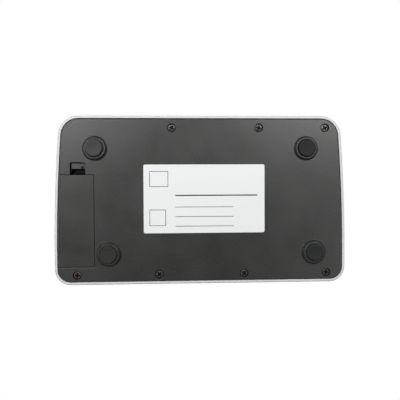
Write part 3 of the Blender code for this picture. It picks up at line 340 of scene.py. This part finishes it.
def blend_colours(tree, factor, first, second):
    """Mix two colours by a factor. All three are plain values or sockets."""
    mixed = add(tree, "ShaderNodeMix", {"data_type": "RGBA"})
    if isinstance(factor, float):
        mixed.inputs["Factor"].default_value = factor
    else:
        link(tree, factor, mixed.inputs["Factor"])
    sockets = [socket for socket in mixed.inputs if socket.type == "RGBA"]
    for socket, colour in zip(sockets, (first, second)):
        if isinstance(colour, tuple):
            socket.default_value = (*colour, 1.0)
        else:
            link(tree, colour, socket)
    return [socket for socket in mixed.outputs if socket.type == "RGBA"][0]


def mix_shaders(tree, factor, first, second):
    mixed = add(tree, "ShaderNodeMixShader")
    link(tree, factor, mixed.inputs["Fac"])
    link(tree, first, mixed.inputs[1])
    link(tree, second, mixed.inputs[2])
    return mixed.outputs["Shader"]


def roughen(tree, shader, height, distance, strength, edge_round=0.0):
    """Bump from a height, over edges that the shader rounds."""
    bump = add(tree, "ShaderNodeBump", values={"Distance": distance, "Strength": strength})
    link(tree, height, bump.inputs["Height"])
    if edge_round:
        bevel = add(tree, "ShaderNodeBevel", {"samples": 4}, {"Radius": edge_round})
        link(tree, bevel.outputs["Normal"], bump.inputs["Normal"])
    link(tree, bump.outputs["Normal"], shader.inputs["Normal"])


def printed_marks(tree, marks):
    """A mask of printed bars, each given by its centre and half its size in object space."""
    axes = axes_of(tree, "Object")
    bars = []
    for centre, half in marks:
        inside = []
        for axis, middle, reach in zip("XY", centre, half):
            near = add(tree, "ShaderNodeMath", {"operation": "COMPARE"}, {1: middle, 2: reach})
            link(tree, axes[axis], near.inputs[0])
            inside.append(near.outputs["Value"])
        bars.append(combine(tree, "MULTIPLY", *inside))
    total = bars[0]
    for bar in bars[1:]:
        total = combine(tree, "MAXIMUM", total, bar)
    return total


def shade(colour, factor):
    return tuple(channel * factor for channel in colour)


def darker_and_lighter(colour, share):
    return shade(colour, 1 - share), shade(colour, 1 + share)


# Materials

def moulded_plastic(
        name, colour, roughness, specular=0.5, grain=5000.0, grain_depth=0.02 * MM,
        edge_round=0.15 * MM, mark_share=0.04, fleck=4000.0, fleck_share=0.04,
        painted_highlight=(), painted_highlight_colour=None):
    """Satin moulded plastic: a fine spark-eroded grain, faint marks and flecks, soft edges.

    grain and fleck are scales of noise, and the shares say how much marks and flecks change the
    colour. The optional bars are painted in a colour of their own, as a highlight on an edge.
    """
    material, tree, shader = new_material(name, roughness, specular=specular)
    marks = noise_at(tree, scale=45.0, detail=4.0, roughness=0.6)
    tint = span(tree, marks, *NOISE_RANGE)
    speckle = span(tree, noise_at(tree, scale=fleck), *FLECK_RANGE)
    broad = blend_colours(tree, tint, *darker_and_lighter(colour, mark_share))
    fine = blend_colours(tree, speckle, *darker_and_lighter(colour, fleck_share))
    surface = blend_colours(tree, 0.5, broad, fine)
    # Painted highlight: the bars stand for light caught on an edge, in a paler colour
    if painted_highlight:
        surface = blend_colours(tree, printed_marks(tree, painted_highlight), surface, painted_highlight_colour)
    link(tree, surface, shader.inputs["Base Color"])
    swing = PLASTIC_ROUGHNESS_SWING
    sheen = span(tree, marks, *NOISE_RANGE, roughness - swing, roughness + swing)
    link(tree, sheen, shader.inputs["Roughness"])
    pits = noise_at(tree, scale=grain, detail=3.0, roughness=0.6)
    roughen(tree, shader, pits, distance=grain_depth, strength=0.6, edge_round=edge_round)
    return material


def small_plastic(name, colour, roughness, grain_depth):
    """Plastic of small pieces, whose meshes have their own round edges."""
    return moulded_plastic(
        name, colour, roughness, grain=SMALL_PIECE_GRAIN, grain_depth=grain_depth, edge_round=0.0)


def rubber(name, colour, roughness, specular):
    """Rubber, a little paler where dust and use have rubbed it."""
    material, tree, shader = new_material(name, roughness, specular=specular)
    dust = noise_at(tree, scale=420.0, detail=5.0, roughness=0.65)
    wear = span(tree, dust, *RUBBER_WEAR_RANGE)
    dusty = shade(colour, RUBBER_DUST_SHADE)
    link(tree, blend_colours(tree, wear, colour, dusty), shader.inputs["Base Color"])
    sheen = span(tree, wear, 0.0, 1.0, roughness, roughness + RUBBER_DUST_ROUGHNESS)
    link(tree, sheen, shader.inputs["Roughness"])
    pores = noise_at(tree, scale=2600.0, detail=3.0)
    roughen(tree, shader, pores, distance=0.03 * MM, strength=0.5, edge_round=0.1 * MM)
    return material


def machined_metal(name, colour, worn, roughness, metallic=1.0):
    """Plated or blackened steel, rubbed in places, or dusty where it is less metallic."""
    material, tree, shader = new_material(name, roughness, metallic)
    rub = noise_at(tree, scale=900.0, detail=4.0, roughness=0.7)
    wear = span(tree, rub, *METAL_WEAR_RANGE)
    link(tree, blend_colours(tree, wear, colour, worn), shader.inputs["Base Color"])
    fine = noise_at(tree, scale=2500.0, detail=3.0)
    low, high = roughness - METAL_ROUGHNESS_DOWN, roughness + METAL_ROUGHNESS_UP
    link(tree, span(tree, fine, *NOISE_RANGE, low, high), shader.inputs["Roughness"])
    tool_marks = noise_at(tree, scale=3500.0)
    roughen(tree, shader, tool_marks, distance=0.01 * MM, strength=0.4, edge_round=0.1 * MM)
    return material


def circuit_board(name, colour):
    """Solder mask over a net of traces, seen as slightly raised paler lines."""
    material, tree, shader = new_material(name, roughness=0.35)
    coordinate = add(tree, "ShaderNodeTexCoord")
    bricks = add(tree, "ShaderNodeTexBrick", {"offset": 0.37, "squash": 0.8}, {
        "Scale": 260.0, "Mortar Size": 0.035, "Brick Width": 1.1, "Row Height": 0.34,
        "Color1": (0, 0, 0, 1), "Color2": (0, 0, 0, 1), "Mortar": (1, 1, 1, 1)})
    link(tree, coordinate.outputs["Object"], bricks.inputs["Vector"])
    lines = bricks.outputs["Fac"]
    raised = shade(colour, TRACE_SHADE)
    link(tree, blend_colours(tree, lines, colour, raised), shader.inputs["Base Color"])
    roughen(tree, shader, lines, distance=0.03 * MM, strength=0.5)
    return material


def paper_label(name, low, high):
    """A coated white sticker, printed with rules and empty fields."""
    material, tree, shader = new_material(name, roughness=0.34, specular=0.45)
    paper = (0.82, 0.83, 0.83)
    ink = (0.030, 0.030, 0.032)
    pulp = span(tree, noise_at(tree, scale=1800.0, detail=4.0, roughness=0.7), *NOISE_RANGE)
    sheet = blend_colours(tree, pulp, *darker_and_lighter(paper, PAPER_SHADE_SHARE))
    printed = printed_marks(tree, label_marks(low, high))
    link(tree, blend_colours(tree, printed, sheet, ink), shader.inputs["Base Color"])
    handling = noise_at(tree, scale=60.0, detail=3.0)
    sheen = span(tree, handling, *NOISE_RANGE, *PAPER_ROUGHNESS_RANGE)
    link(tree, sheen, shader.inputs["Roughness"])
    fibre = noise_at(tree, scale=900.0, detail=3.0)
    roughen(tree, shader, fibre, distance=0.01 * MM, strength=0.3)
    return material


def label_marks(low, high):
    """The bars of the label's rules and empty fields, each as its centre and half its size."""
    width = high.x - low.x
    depth = high.y - low.y
    marks = []

    def bar(across, down, half_width, half_depth):
        centre = (high.x - across * width, high.y - down * depth)
        marks.append((centre, (half_width, half_depth)))

    def rule(start, end, down, thickness):
        bar((start + end) / 2, down, (end - start) / 2 * width, thickness / 2)

    for start, end, down in BOLD_RULE_SHARES:
        rule(start, end, down, BOLD_LINE)
    for start, end, down in THIN_RULE_SHARES:
        rule(start, end, down, THIN_LINE)
    for start, end, top, bottom in FIELD_SHARES:
        rule(start, end, top, THIN_LINE)
        rule(start, end, bottom, THIN_LINE)
        half_depth = (bottom - top) / 2 * depth + THIN_LINE / 2
        for across in (start, end):
            bar(across, (top + bottom) / 2, THIN_LINE / 2, half_depth)
    return marks


def bay_edge_highlight():
    """The bar of the bottom shell in front of the battery cover, painted pale as a highlight on its
    edge.
    """
    low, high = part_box("battery_cover")
    front_y = low.y + BAY_HIGHLIGHT_START
    centre = ((low.x + high.x) / 2, front_y - BAY_HIGHLIGHT_WIDTH / 2)
    return centre, ((high.x - low.x) / 2, BAY_HIGHLIGHT_WIDTH / 2)


def smooth_by_angle():
    """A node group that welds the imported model's faces and smooths all but its sharp edges."""
    group = bpy.data.node_groups.new("smooth_by_angle", "GeometryNodeTree")
    group.interface.new_socket("Geometry", in_out="INPUT", socket_type="NodeSocketGeometry")
    group.interface.new_socket("Geometry", in_out="OUTPUT", socket_type="NodeSocketGeometry")
    start = add(group, "NodeGroupInput")
    end = add(group, "NodeGroupOutput")
    merge = add(group, "GeometryNodeMergeByDistance", values={"Distance": WELD_DISTANCE})
    strip = add(group, "GeometryNodeRemoveAttribute", values={"Name": "custom_normal"})
    faces = add(group, "GeometryNodeSetShadeSmooth", {"domain": "FACE"}, {"Shade Smooth": True})
    edges = add(group, "GeometryNodeSetShadeSmooth", {"domain": "EDGE"}, {"Shade Smooth": False})
    angle = add(group, "GeometryNodeInputMeshEdgeAngle")
    wide = add(
        group, "FunctionNodeCompare", {"data_type": "FLOAT", "operation": "GREATER_THAN"},
        {"B": SHARP_ANGLE})
    link(group, angle.outputs["Unsigned Angle"], wide.inputs["A"])
    link(group, start.outputs[0], merge.inputs["Geometry"])
    link(group, merge.outputs["Geometry"], strip.inputs["Geometry"])
    link(group, strip.outputs["Geometry"], faces.inputs["Geometry"])
    link(group, faces.outputs["Geometry"], edges.inputs["Geometry"])
    link(group, wide.outputs["Result"], edges.inputs["Selection"])
    link(group, edges.outputs["Geometry"], end.inputs[0])
    return group


# Pieces

def cap_outlines(half_x, half_y, corner, dish):
    """The outlines of a key's rounded edge and dished top, each with its depth below the top."""
    for step in range(KEY_ROUND_STEPS + 1):
        angle = step / KEY_ROUND_STEPS * math.pi / 2
        inset = KEY_ROUND * (1 - math.cos(angle))
        outline = rounded_outline(half_x - inset, half_y - inset, corner - inset, KEY_CORNER_STEPS)
        yield outline, KEY_ROUND * (1 - math.sin(angle))
    for share in DISH_SHARES:
        sizes = [(size - KEY_ROUND) * share for size in (half_x, half_y, corner)]
        yield rounded_outline(*sizes, KEY_CORNER_STEPS), dish * (1 - share ** 2)


def make_deck_key(name, corner, dish, material):
    """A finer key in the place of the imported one: its flange and its cap."""
    low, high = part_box(name)
    middle = (low + high) / 2
    centre = (middle.x, middle.y)
    half = (high - low) / 2
    half_x = half.x - FLANGE
    half_y = half.y - FLANGE
    flange = rounded_outline(half.x, half.y, corner + FLANGE, KEY_CORNER_STEPS)
    cap = rounded_outline(half_x, half_y, corner, KEY_CORNER_STEPS)
    flange_top_z = low.z + FLANGE_THICKNESS
    rings = [
        level(flange, low.z, centre), level(flange, flange_top_z, centre),
        level(cap, flange_top_z, centre)]
    for outline, sink in cap_outlines(half_x, half_y, corner, dish):
        rings.append(level(outline, high.z - sink, centre))
    place(name + "_cap", make_mesh(name + "_cap", [rings]), name, material, name)


def make_thumb_key(name, material):
    """A thumb key in the front wall: its stem, its flange and its cap."""
    low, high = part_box(name)
    centre = (low + high) / 2
    half = (high - low) / 2
    half_x = half.x - FLANGE
    half_z = half.z - FLANGE
    flange_y = low.y + THUMB_CAP_DEPTH
    back_y = flange_y + FLANGE_THICKNESS
    stem = rounded_outline(
        THUMB_STEM_HALF_WIDTH, THUMB_STEM_HALF_HEIGHT, KEY_ROUND, KEY_CORNER_STEPS)
    flange = rounded_outline(half.x, half.z, THUMB_CORNER + FLANGE, KEY_CORNER_STEPS)
    cap = rounded_outline(half_x, half_z, THUMB_CORNER, KEY_CORNER_STEPS)

    def wall(outline, y):
        return [Vector((centre.x + x, y, centre.z + z)) for x, z in outline]

    rings = [
        wall(stem, high.y), wall(stem, back_y), wall(flange, back_y), wall(flange, flange_y),
        wall(cap, flange_y)]
    for outline, sink in cap_outlines(half_x, half_z, THUMB_CORNER, THUMB_DISH):
        rings.append(wall(outline, low.y + sink))
    place(name + "_cap", make_mesh(name + "_cap", [rings]), name, material, name)


def block(half_x, half_y, centre, low_z, high_z):
    """An upright block with small round corners."""
    outline = rounded_outline(half_x, half_y, CELL_EDGE, BLOCK_CORNER_STEPS)
    return [level(outline, low_z, centre), level(outline, high_z, centre)]


def head_solid(half_x, half_y, centre, low_z):
    """The head of one cell, bevelled around its reading face."""
    head = rounded_outline(half_x, half_y, CELL_EDGE, HEAD_CORNER_STEPS)
    crown = rounded_outline(
        half_x - CELL_EDGE, half_y - CELL_EDGE, CELL_EDGE / 2, HEAD_CORNER_STEPS)
    return [
        level(head, low_z, centre), level(head, HEAD_TOP_Z - CELL_EDGE, centre),
        level(crown, HEAD_TOP_Z, centre)]


def dot_solid(centre):
    """One raised dot: a short straight side and a domed tip."""
    side = circle(DOT_RADIUS, DOT_SIDES)
    side_z = HEAD_TOP_Z + DOT_HEIGHT * DOT_SIDE_SHARE
    rings = [level(side, HEAD_TOP_Z - DOT_HEIGHT / 2, centre), level(side, side_z, centre)]
    dome_height = DOT_HEIGHT * (1 - DOT_SIDE_SHARE)
    last_sine = math.sin(math.radians(DOT_TIP_ANGLES[-1]))
    for angle in DOT_TIP_ANGLES:
        turn = math.radians(angle)
        outline = circle(DOT_RADIUS * math.cos(turn), DOT_SIDES)
        rings.append(level(outline, side_z + dome_height * math.sin(turn) / last_sine, centre))
    return rings


def make_cells(cell_material, dot_material):
    """The row of cells on its carrier, with every head bevelled and every dot round."""
    low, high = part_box("cell_bank")
    carrier_top_z = low.z + CARRIER_THICKNESS
    reading_y = low.y + HEAD_DEPTH / 2
    head_rear_y = low.y + HEAD_DEPTH
    half_row = CELL_COUNT * CELL_PITCH / 2
    half_cell = (CELL_PITCH - CELL_GAP) / 2
    half_back = BACKPLANE_THICKNESS / 2
    half_reed = (high.y - BACKPLANE_THICKNESS - head_rear_y) / 2
    solids = [
        block(half_row, (high.y - low.y) / 2, (0, (high.y + low.y) / 2), low.z, carrier_top_z),
        block(half_row, half_back, (0, high.y - half_back), carrier_top_z, REED_TOP_Z)]
    dots = []
    for index in range(CELL_COUNT):
        x = (index - (CELL_COUNT - 1) / 2) * CELL_PITCH
        solids.append(head_solid(half_cell, HEAD_DEPTH / 2, (x, reading_y), carrier_top_z))
        reed_centre = (x, head_rear_y + half_reed)
        solids.append(block(half_cell, half_reed, reed_centre, carrier_top_z, REED_TOP_Z))
        for column in (-1, 1):
            for row in range(DOT_ROWS):
                y = reading_y + (row - (DOT_ROWS - 1) / 2) * DOT_SPACING
                dots.append(dot_solid((x + column * DOT_SPACING / 2, y)))
    cells = make_mesh("braille_cells", solids)
    place("braille_cells", cells, "case", cell_material, "cell_bank")
    place("braille_dots", make_mesh("braille_dots", dots), "case", dot_material)


def recess_arm(half_x, half_y):
    """One arm of the cross recess, tapering to its bottom."""
    mouth = rounded_outline(half_x, half_y, RECESS_CORNER, RECESS_CORNER_STEPS)
    bottom = rounded_outline(
        half_x * RECESS_BOTTOM_SHARE, half_y * RECESS_BOTTOM_SHARE, RECESS_CORNER / 2,
        RECESS_CORNER_STEPS)
    return [
        level(mouth, SCREW_HEAD_LEVEL - RECESS_DEPTH), level(mouth, SCREW_HEAD_LEVEL + RECESS_RIM),
        level(bottom, SCREW_HEAD_LEVEL + RECESS_DEPTH)]


def screw_mesh(recess_shade_material):
    """A pan-head screw about its own axis. The recess has its second material, painted dark as shade,
    the rest its first.
    """
    head_top_z = SCREW_HEAD_LEVEL + SCREW_HEAD_HEIGHT
    tip_z = head_top_z + SCREW_SHANK_LENGTH
    sections = [
        (SCREW_HEAD_RADIUS * radius, SCREW_HEAD_LEVEL + SCREW_HEAD_HEIGHT * height)
        for radius, height in SCREW_HEAD_SHARES]
    sections += [
        (SCREW_SHANK_RADIUS, head_top_z), (SCREW_SHANK_RADIUS, tip_z - SCREW_SHANK_RADIUS),
        (SCREW_SHANK_RADIUS * SCREW_TIP_SHARE, tip_z)]
    rings = [level(circle(radius, SCREW_SIDES), z) for radius, z in sections]
    long, short = RECESS_SPAN / 2, RECESS_WIDTH / 2
    arms = [make_mesh("recess", [recess_arm(*sizes)]) for sizes in ((long, short), (short, long))]
    mesh = cut_mesh("screw", make_mesh("screw", [rings]), arms)
    mesh.materials.clear()
    mesh.materials.append(None)
    mesh.materials.append(recess_shade_material)
    painted_shade_z = SCREW_HEAD_LEVEL + RECESS_DEPTH * PAINTED_SHADE_DEPTH_SHARE
    for face in mesh.polygons:
        deep = painted_shade_z < face.center.z < head_top_z
        reach = math.hypot(face.center.x, face.center.y)
        face.material_index = int(deep and reach < SCREW_HEAD_RADIUS * PAINTED_SHADE_RADIUS_SHARE)
    return mesh


def make_screws(materials, recess_shade_material):
    """The case screws, each turned to where its driver left it."""
    mesh = screw_mesh(recess_shade_material)
    turns = random.Random(SCREW_SEED)
    for index, material in enumerate(materials, start=1):
        node = f"case_screw_{index}"
        low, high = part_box(node)
        centre = (low + high) / 2
        turned = mesh.copy()
        angle = turns.uniform(0, math.pi / 2)
        turned.transform(Euler((0, 0, angle)).to_matrix().to_4x4())
        turned.transform(Matrix.Translation(Vector((centre.x, centre.y, 0))))
        turned.materials[0] = material
        place(f"screw_{index}", turned, "case", material, node)


def make_pads(materials):
    """Hollow rubber pads, each glued a little outward on the skirt that fills its ring."""
    for name, (shift, skirt_z) in PAD_SEATS.items():
        low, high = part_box(name)
        seat = ((low.x + high.x) / 2, (low.y + high.y) / 2)
        outward = 1 + shift / math.hypot(*seat)
        centre = (seat[0] * outward, seat[1] * outward)
        rings = [
            level(circle(PAD_RADIUS * share, PAD_SIDES), z, centre) for share, z in PAD_HOLLOW]
        for step in range(1, PAD_ROUND_STEPS + 1):
            angle = step / PAD_ROUND_STEPS * math.pi / 2
            radius = PAD_RADIUS - PAD_ROUND * (1 - math.sin(angle))
            z = PAD_ROUND * (1 - math.cos(angle))
            rings.append(level(circle(radius, PAD_SIDES), z, centre))
        skirt = circle(SKIRT_RADIUS, PAD_SIDES)
        rings.append(level(circle(PAD_RADIUS, PAD_SIDES), skirt_z, centre))
        rings.append(level(skirt, skirt_z, seat))
        rings.append(level(skirt, PAD_HEIGHT, seat))
        mesh = make_mesh(name + "_pad", [rings])
        place(name + "_pad", mesh, "case", materials[name], name)


def packed_finishes():
    """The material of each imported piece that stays."""
    label_low, label_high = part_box("rating_label")
    shell_white = moulded_plastic(
        "shell_white", colour=(0.645, 0.652, 0.652), roughness=0.42, grain=4200.0,
        grain_depth=0.002 * MM, edge_round=0.25 * MM, mark_share=0.012, fleck_share=0.01)
    # The bay's edge in front of the battery cover gets a painted highlight, a pale warm line
    shell_black = moulded_plastic(
        "shell_black", colour=(0.023, 0.023, 0.022), edge_round=0.25 * MM,
        painted_highlight=[bay_edge_highlight()], painted_highlight_colour=(0.058, 0.053, 0.048), **BLACK_FINISH)
    cover_black = moulded_plastic(
        "cover_black", colour=(0.023, 0.023, 0.021), edge_round=0.2 * MM, **BLACK_FINISH)
    sleeve = moulded_plastic(
        "pack_sleeve", colour=(0.03, 0.07, 0.20), roughness=0.34, grain=900.0, edge_round=0.2 * MM)
    green = circuit_board("board_green", colour=(0.008, 0.10, 0.04))
    steel = machined_metal(
        "plated_steel", colour=(0.62, 0.62, 0.60), worn=(0.50, 0.49, 0.46), roughness=0.28)
    return {
        "upper_case": shell_white,
        "lower_case": shell_black,
        "battery_cover": cover_black,
        "battery_pack": sleeve,
        "battery_terminal": moulded_plastic("terminal_black", (0.02, 0.02, 0.02), roughness=0.5),
        "main_board": green,
        "key_board": green,
        "thumb_board": green,
        "usb_socket": steel,
        "power_switch_body": steel,
        "power_switch_knob": moulded_plastic("knob_black", (0.04, 0.04, 0.04), roughness=0.5),
        "rating_label": paper_label("label_paper", label_low, label_high),
    }


def dress_packed_nodes():
    """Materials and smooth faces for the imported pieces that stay."""
    group = smooth_by_angle()
    for name, material in packed_finishes().items():
        node = NODES[name]
        node.data.materials.clear()
        node.data.materials.append(material)
        modifier = node.modifiers.new("smooth", "NODES")
        modifier.node_group = group


def make_keys():
    key_plastic = small_plastic(
        "key_plastic", colour=(0.075, 0.076, 0.080), roughness=0.46, grain_depth=0.012 * MM)
    routing_plastic = small_plastic(
        "routing_plastic", colour=(0.30, 0.31, 0.32), roughness=0.45, grain_depth=0.010 * MM)
    thumb_plastic = small_plastic(
        "thumb_plastic", colour=(0.08, 0.08, 0.085), roughness=0.46, grain_depth=0.012 * MM)
    for number in range(1, DOT_KEY_COUNT + 1):
        name = f"dot_key_{number}"
        make_deck_key(name, DOT_KEY_CORNER, DOT_KEY_DISH, key_plastic)
    make_deck_key("space_bar", SPACE_BAR_CORNER, DOT_KEY_DISH, key_plastic)
    for number in range(1, CELL_COUNT + 1):
        name = f"routing_key_{number:02d}"
        make_deck_key(name, ROUTING_KEY_CORNER, ROUTING_KEY_DISH, routing_plastic)
    for hand in ("left", "right"):
        for side in ("inner", "outer"):
            make_thumb_key(f"thumb_key_{hand}_{side}", thumb_plastic)


def screw_materials():
    """The finish of each case screw, from 1 on: the third a lighter copy as a painted highlight, the
    fourth a warm brown copy as a painted reflection.
    """
    dark = machined_metal(
        "screw_dark", colour=(0.085, 0.083, 0.080), worn=(0.15, 0.147, 0.143), roughness=0.42)
    dusty = machined_metal(
        "screw_dusty", colour=(0.046, 0.046, 0.040), worn=(0.080, 0.079, 0.070), roughness=0.62,
        metallic=0.45)
    # Painted reflection: a warm brown copy of the screw finish for the fourth screw
    warm_reflection = machined_metal(
        "screw_warm_reflection", colour=(0.075, 0.050, 0.036), worn=(0.12, 0.082, 0.060), roughness=0.58,
        metallic=0.5)
    # Painted highlight: a lighter copy of the screw finish for the third screw
    painted_highlight = machined_metal(
        "screw_painted_highlight", colour=(0.11, 0.10, 0.09), worn=(0.23, 0.21, 0.19), roughness=0.44)
    return [dark, dark, painted_highlight, warm_reflection, dusty, dusty, dusty]


def pad_materials():
    """The rubber of each foot pad. Their gloss differs with wear and dust, and their colours are
    painted lighter, darker, warmer and cooler for the light and reflections that fall on each.
    """
    # Painted light and reflection: the rear right pad is lighter, the front right warmer, the front
    # left cooler and darker
    worn = rubber("pad_worn", colour=(0.028, 0.029, 0.028), roughness=0.52, specular=0.4)
    dark = rubber("pad_dark", colour=(0.019, 0.019, 0.019), roughness=0.75, specular=0.25)
    dusty = rubber("pad_dusty", colour=(0.021, 0.020, 0.018), roughness=0.64, specular=0.3)
    plain = rubber("pad_plain", colour=(0.014, 0.016, 0.016), roughness=0.68, specular=0.3)
    return {
        "foot_rear_right": worn, "foot_rear_left": dark,
        "foot_front_right": dusty, "foot_front_left": plain,
    }


def make_pieces():
    make_keys()
    cell_plastic = small_plastic(
        "cell_plastic", colour=(0.62, 0.60, 0.54), roughness=0.42, grain_depth=0.006 * MM)
    dot_plastic = small_plastic(
        "dot_plastic", colour=(0.84, 0.84, 0.82), roughness=0.35, grain_depth=0.003 * MM)
    make_cells(cell_plastic, dot_plastic)
    # The deep faces of each screw's cross recess are painted near black as shade
    recess = machined_metal(
        "screw_recess_painted_shade", colour=(0.02, 0.02, 0.02), worn=(0.05, 0.05, 0.05), roughness=0.55)
    make_screws(screw_materials(), recess)
    make_pads(pad_materials())


# Studio

def make_lamps():
    for name, (spot, target, width, depth, power) in LAMPS.items():
        lamp = bpy.data.lights.new(name, "AREA")
        lamp.shape = "RECTANGLE"
        lamp.size = width
        lamp.size_y = depth
        lamp.energy = power
        thing = bpy.data.objects.new(name, lamp)
        bpy.context.scene.collection.objects.link(thing)
        thing.location = spot
        aim = Vector(target) - Vector(spot)
        thing.rotation_euler = aim.to_track_quat("-Z", "Y").to_euler()
        thing.visible_camera = False


def make_world():
    """Plain white behind the object, and a soft light around it that is weaker from below."""
    world = bpy.data.worlds.new("studio")
    bpy.context.scene.world = world
    world.use_nodes = True
    tree = world.node_tree
    tree.nodes.clear()
    path = add(tree, "ShaderNodeLightPath").outputs
    lit = add(tree, "ShaderNodeBackground", values={"Color": (1, 1, 1, 1)})
    seen = add(tree, "ShaderNodeBackground", values={"Color": (1, 1, 1, 1), "Strength": 1.0})
    above = span(tree, axes_of(tree, "Generated")["Z"], -HORIZON_BLUR, HORIZON_BLUR)
    link(tree, span(tree, above, 0.0, 1.0, LIGHT_BELOW, LIGHT_ABOVE), lit.inputs["Strength"])
    direct = combine(tree, "MAXIMUM", path["Is Camera Ray"], path["Is Transmission Ray"])
    glossy = combine(tree, "MULTIPLY", path["Is Glossy Ray"], above)
    white = combine(tree, "MAXIMUM", direct, glossy)
    light = mix_shaders(tree, white, lit.outputs["Background"], seen.outputs["Background"])
    output = add(tree, "ShaderNodeOutputWorld")
    link(tree, light, output.inputs["Surface"])


def floor_paper():
    """Paper that fades into the white around it, and that is clear from behind."""
    material = bpy.data.materials.new("floor_paper")
    material.use_nodes = True
    tree = material.node_tree
    tree.nodes.clear()
    paper = add(tree, "ShaderNodeBsdfDiffuse", values={"Color": FLOOR_COLOUR})
    clear = add(tree, "ShaderNodeBsdfTransparent")
    geometry = add(tree, "ShaderNodeNewGeometry")
    length = add(tree, "ShaderNodeVectorMath", {"operation": "LENGTH"})
    link(tree, geometry.outputs["Position"], length.inputs[0])
    fade = span(tree, length.outputs["Value"], *FLOOR_FADE)
    hidden = combine(tree, "MAXIMUM", geometry.outputs["Backfacing"], fade)
    surface = mix_shaders(tree, hidden, paper.outputs["BSDF"], clear.outputs["BSDF"])
    output = add(tree, "ShaderNodeOutputMaterial")
    link(tree, surface, output.inputs["Surface"])
    return material


def make_floor():
    """A pale floor that the camera below looks through."""
    shape = bmesh.new()
    corners = ((-1, -1), (1, -1), (1, 1), (-1, 1))
    shape.faces.new([shape.verts.new((x * FLOOR_REACH, y * FLOOR_REACH, 0)) for x, y in corners])
    mesh = bpy.data.meshes.new("floor")
    shape.to_mesh(mesh)
    shape.free()
    mesh.materials.append(floor_paper())
    floor = bpy.data.objects.new("floor", mesh)
    bpy.context.scene.collection.objects.link(floor)
    floor.visible_shadow = False
    floor.visible_diffuse = False
    floor.visible_glossy = False
    floor.visible_transmission = False


def make_camera():
    camera = bpy.data.cameras.new("camera")
    camera.lens = CAMERA_LENS
    camera.sensor_width = 36.0
    camera.clip_start = 0.01
    camera.clip_end = 20.0
    thing = bpy.data.objects.new("camera", camera)
    bpy.context.scene.collection.objects.link(thing)
    thing.location = CAMERA_PLACE
    thing.rotation_euler = [math.radians(angle) for angle in CAMERA_TURN]
    bpy.context.scene.camera = thing


dress_packed_nodes()
make_pieces()
make_world()
make_floor()
make_camera()
make_lamps()
bpy.context.scene.view_settings.view_transform = "Standard"
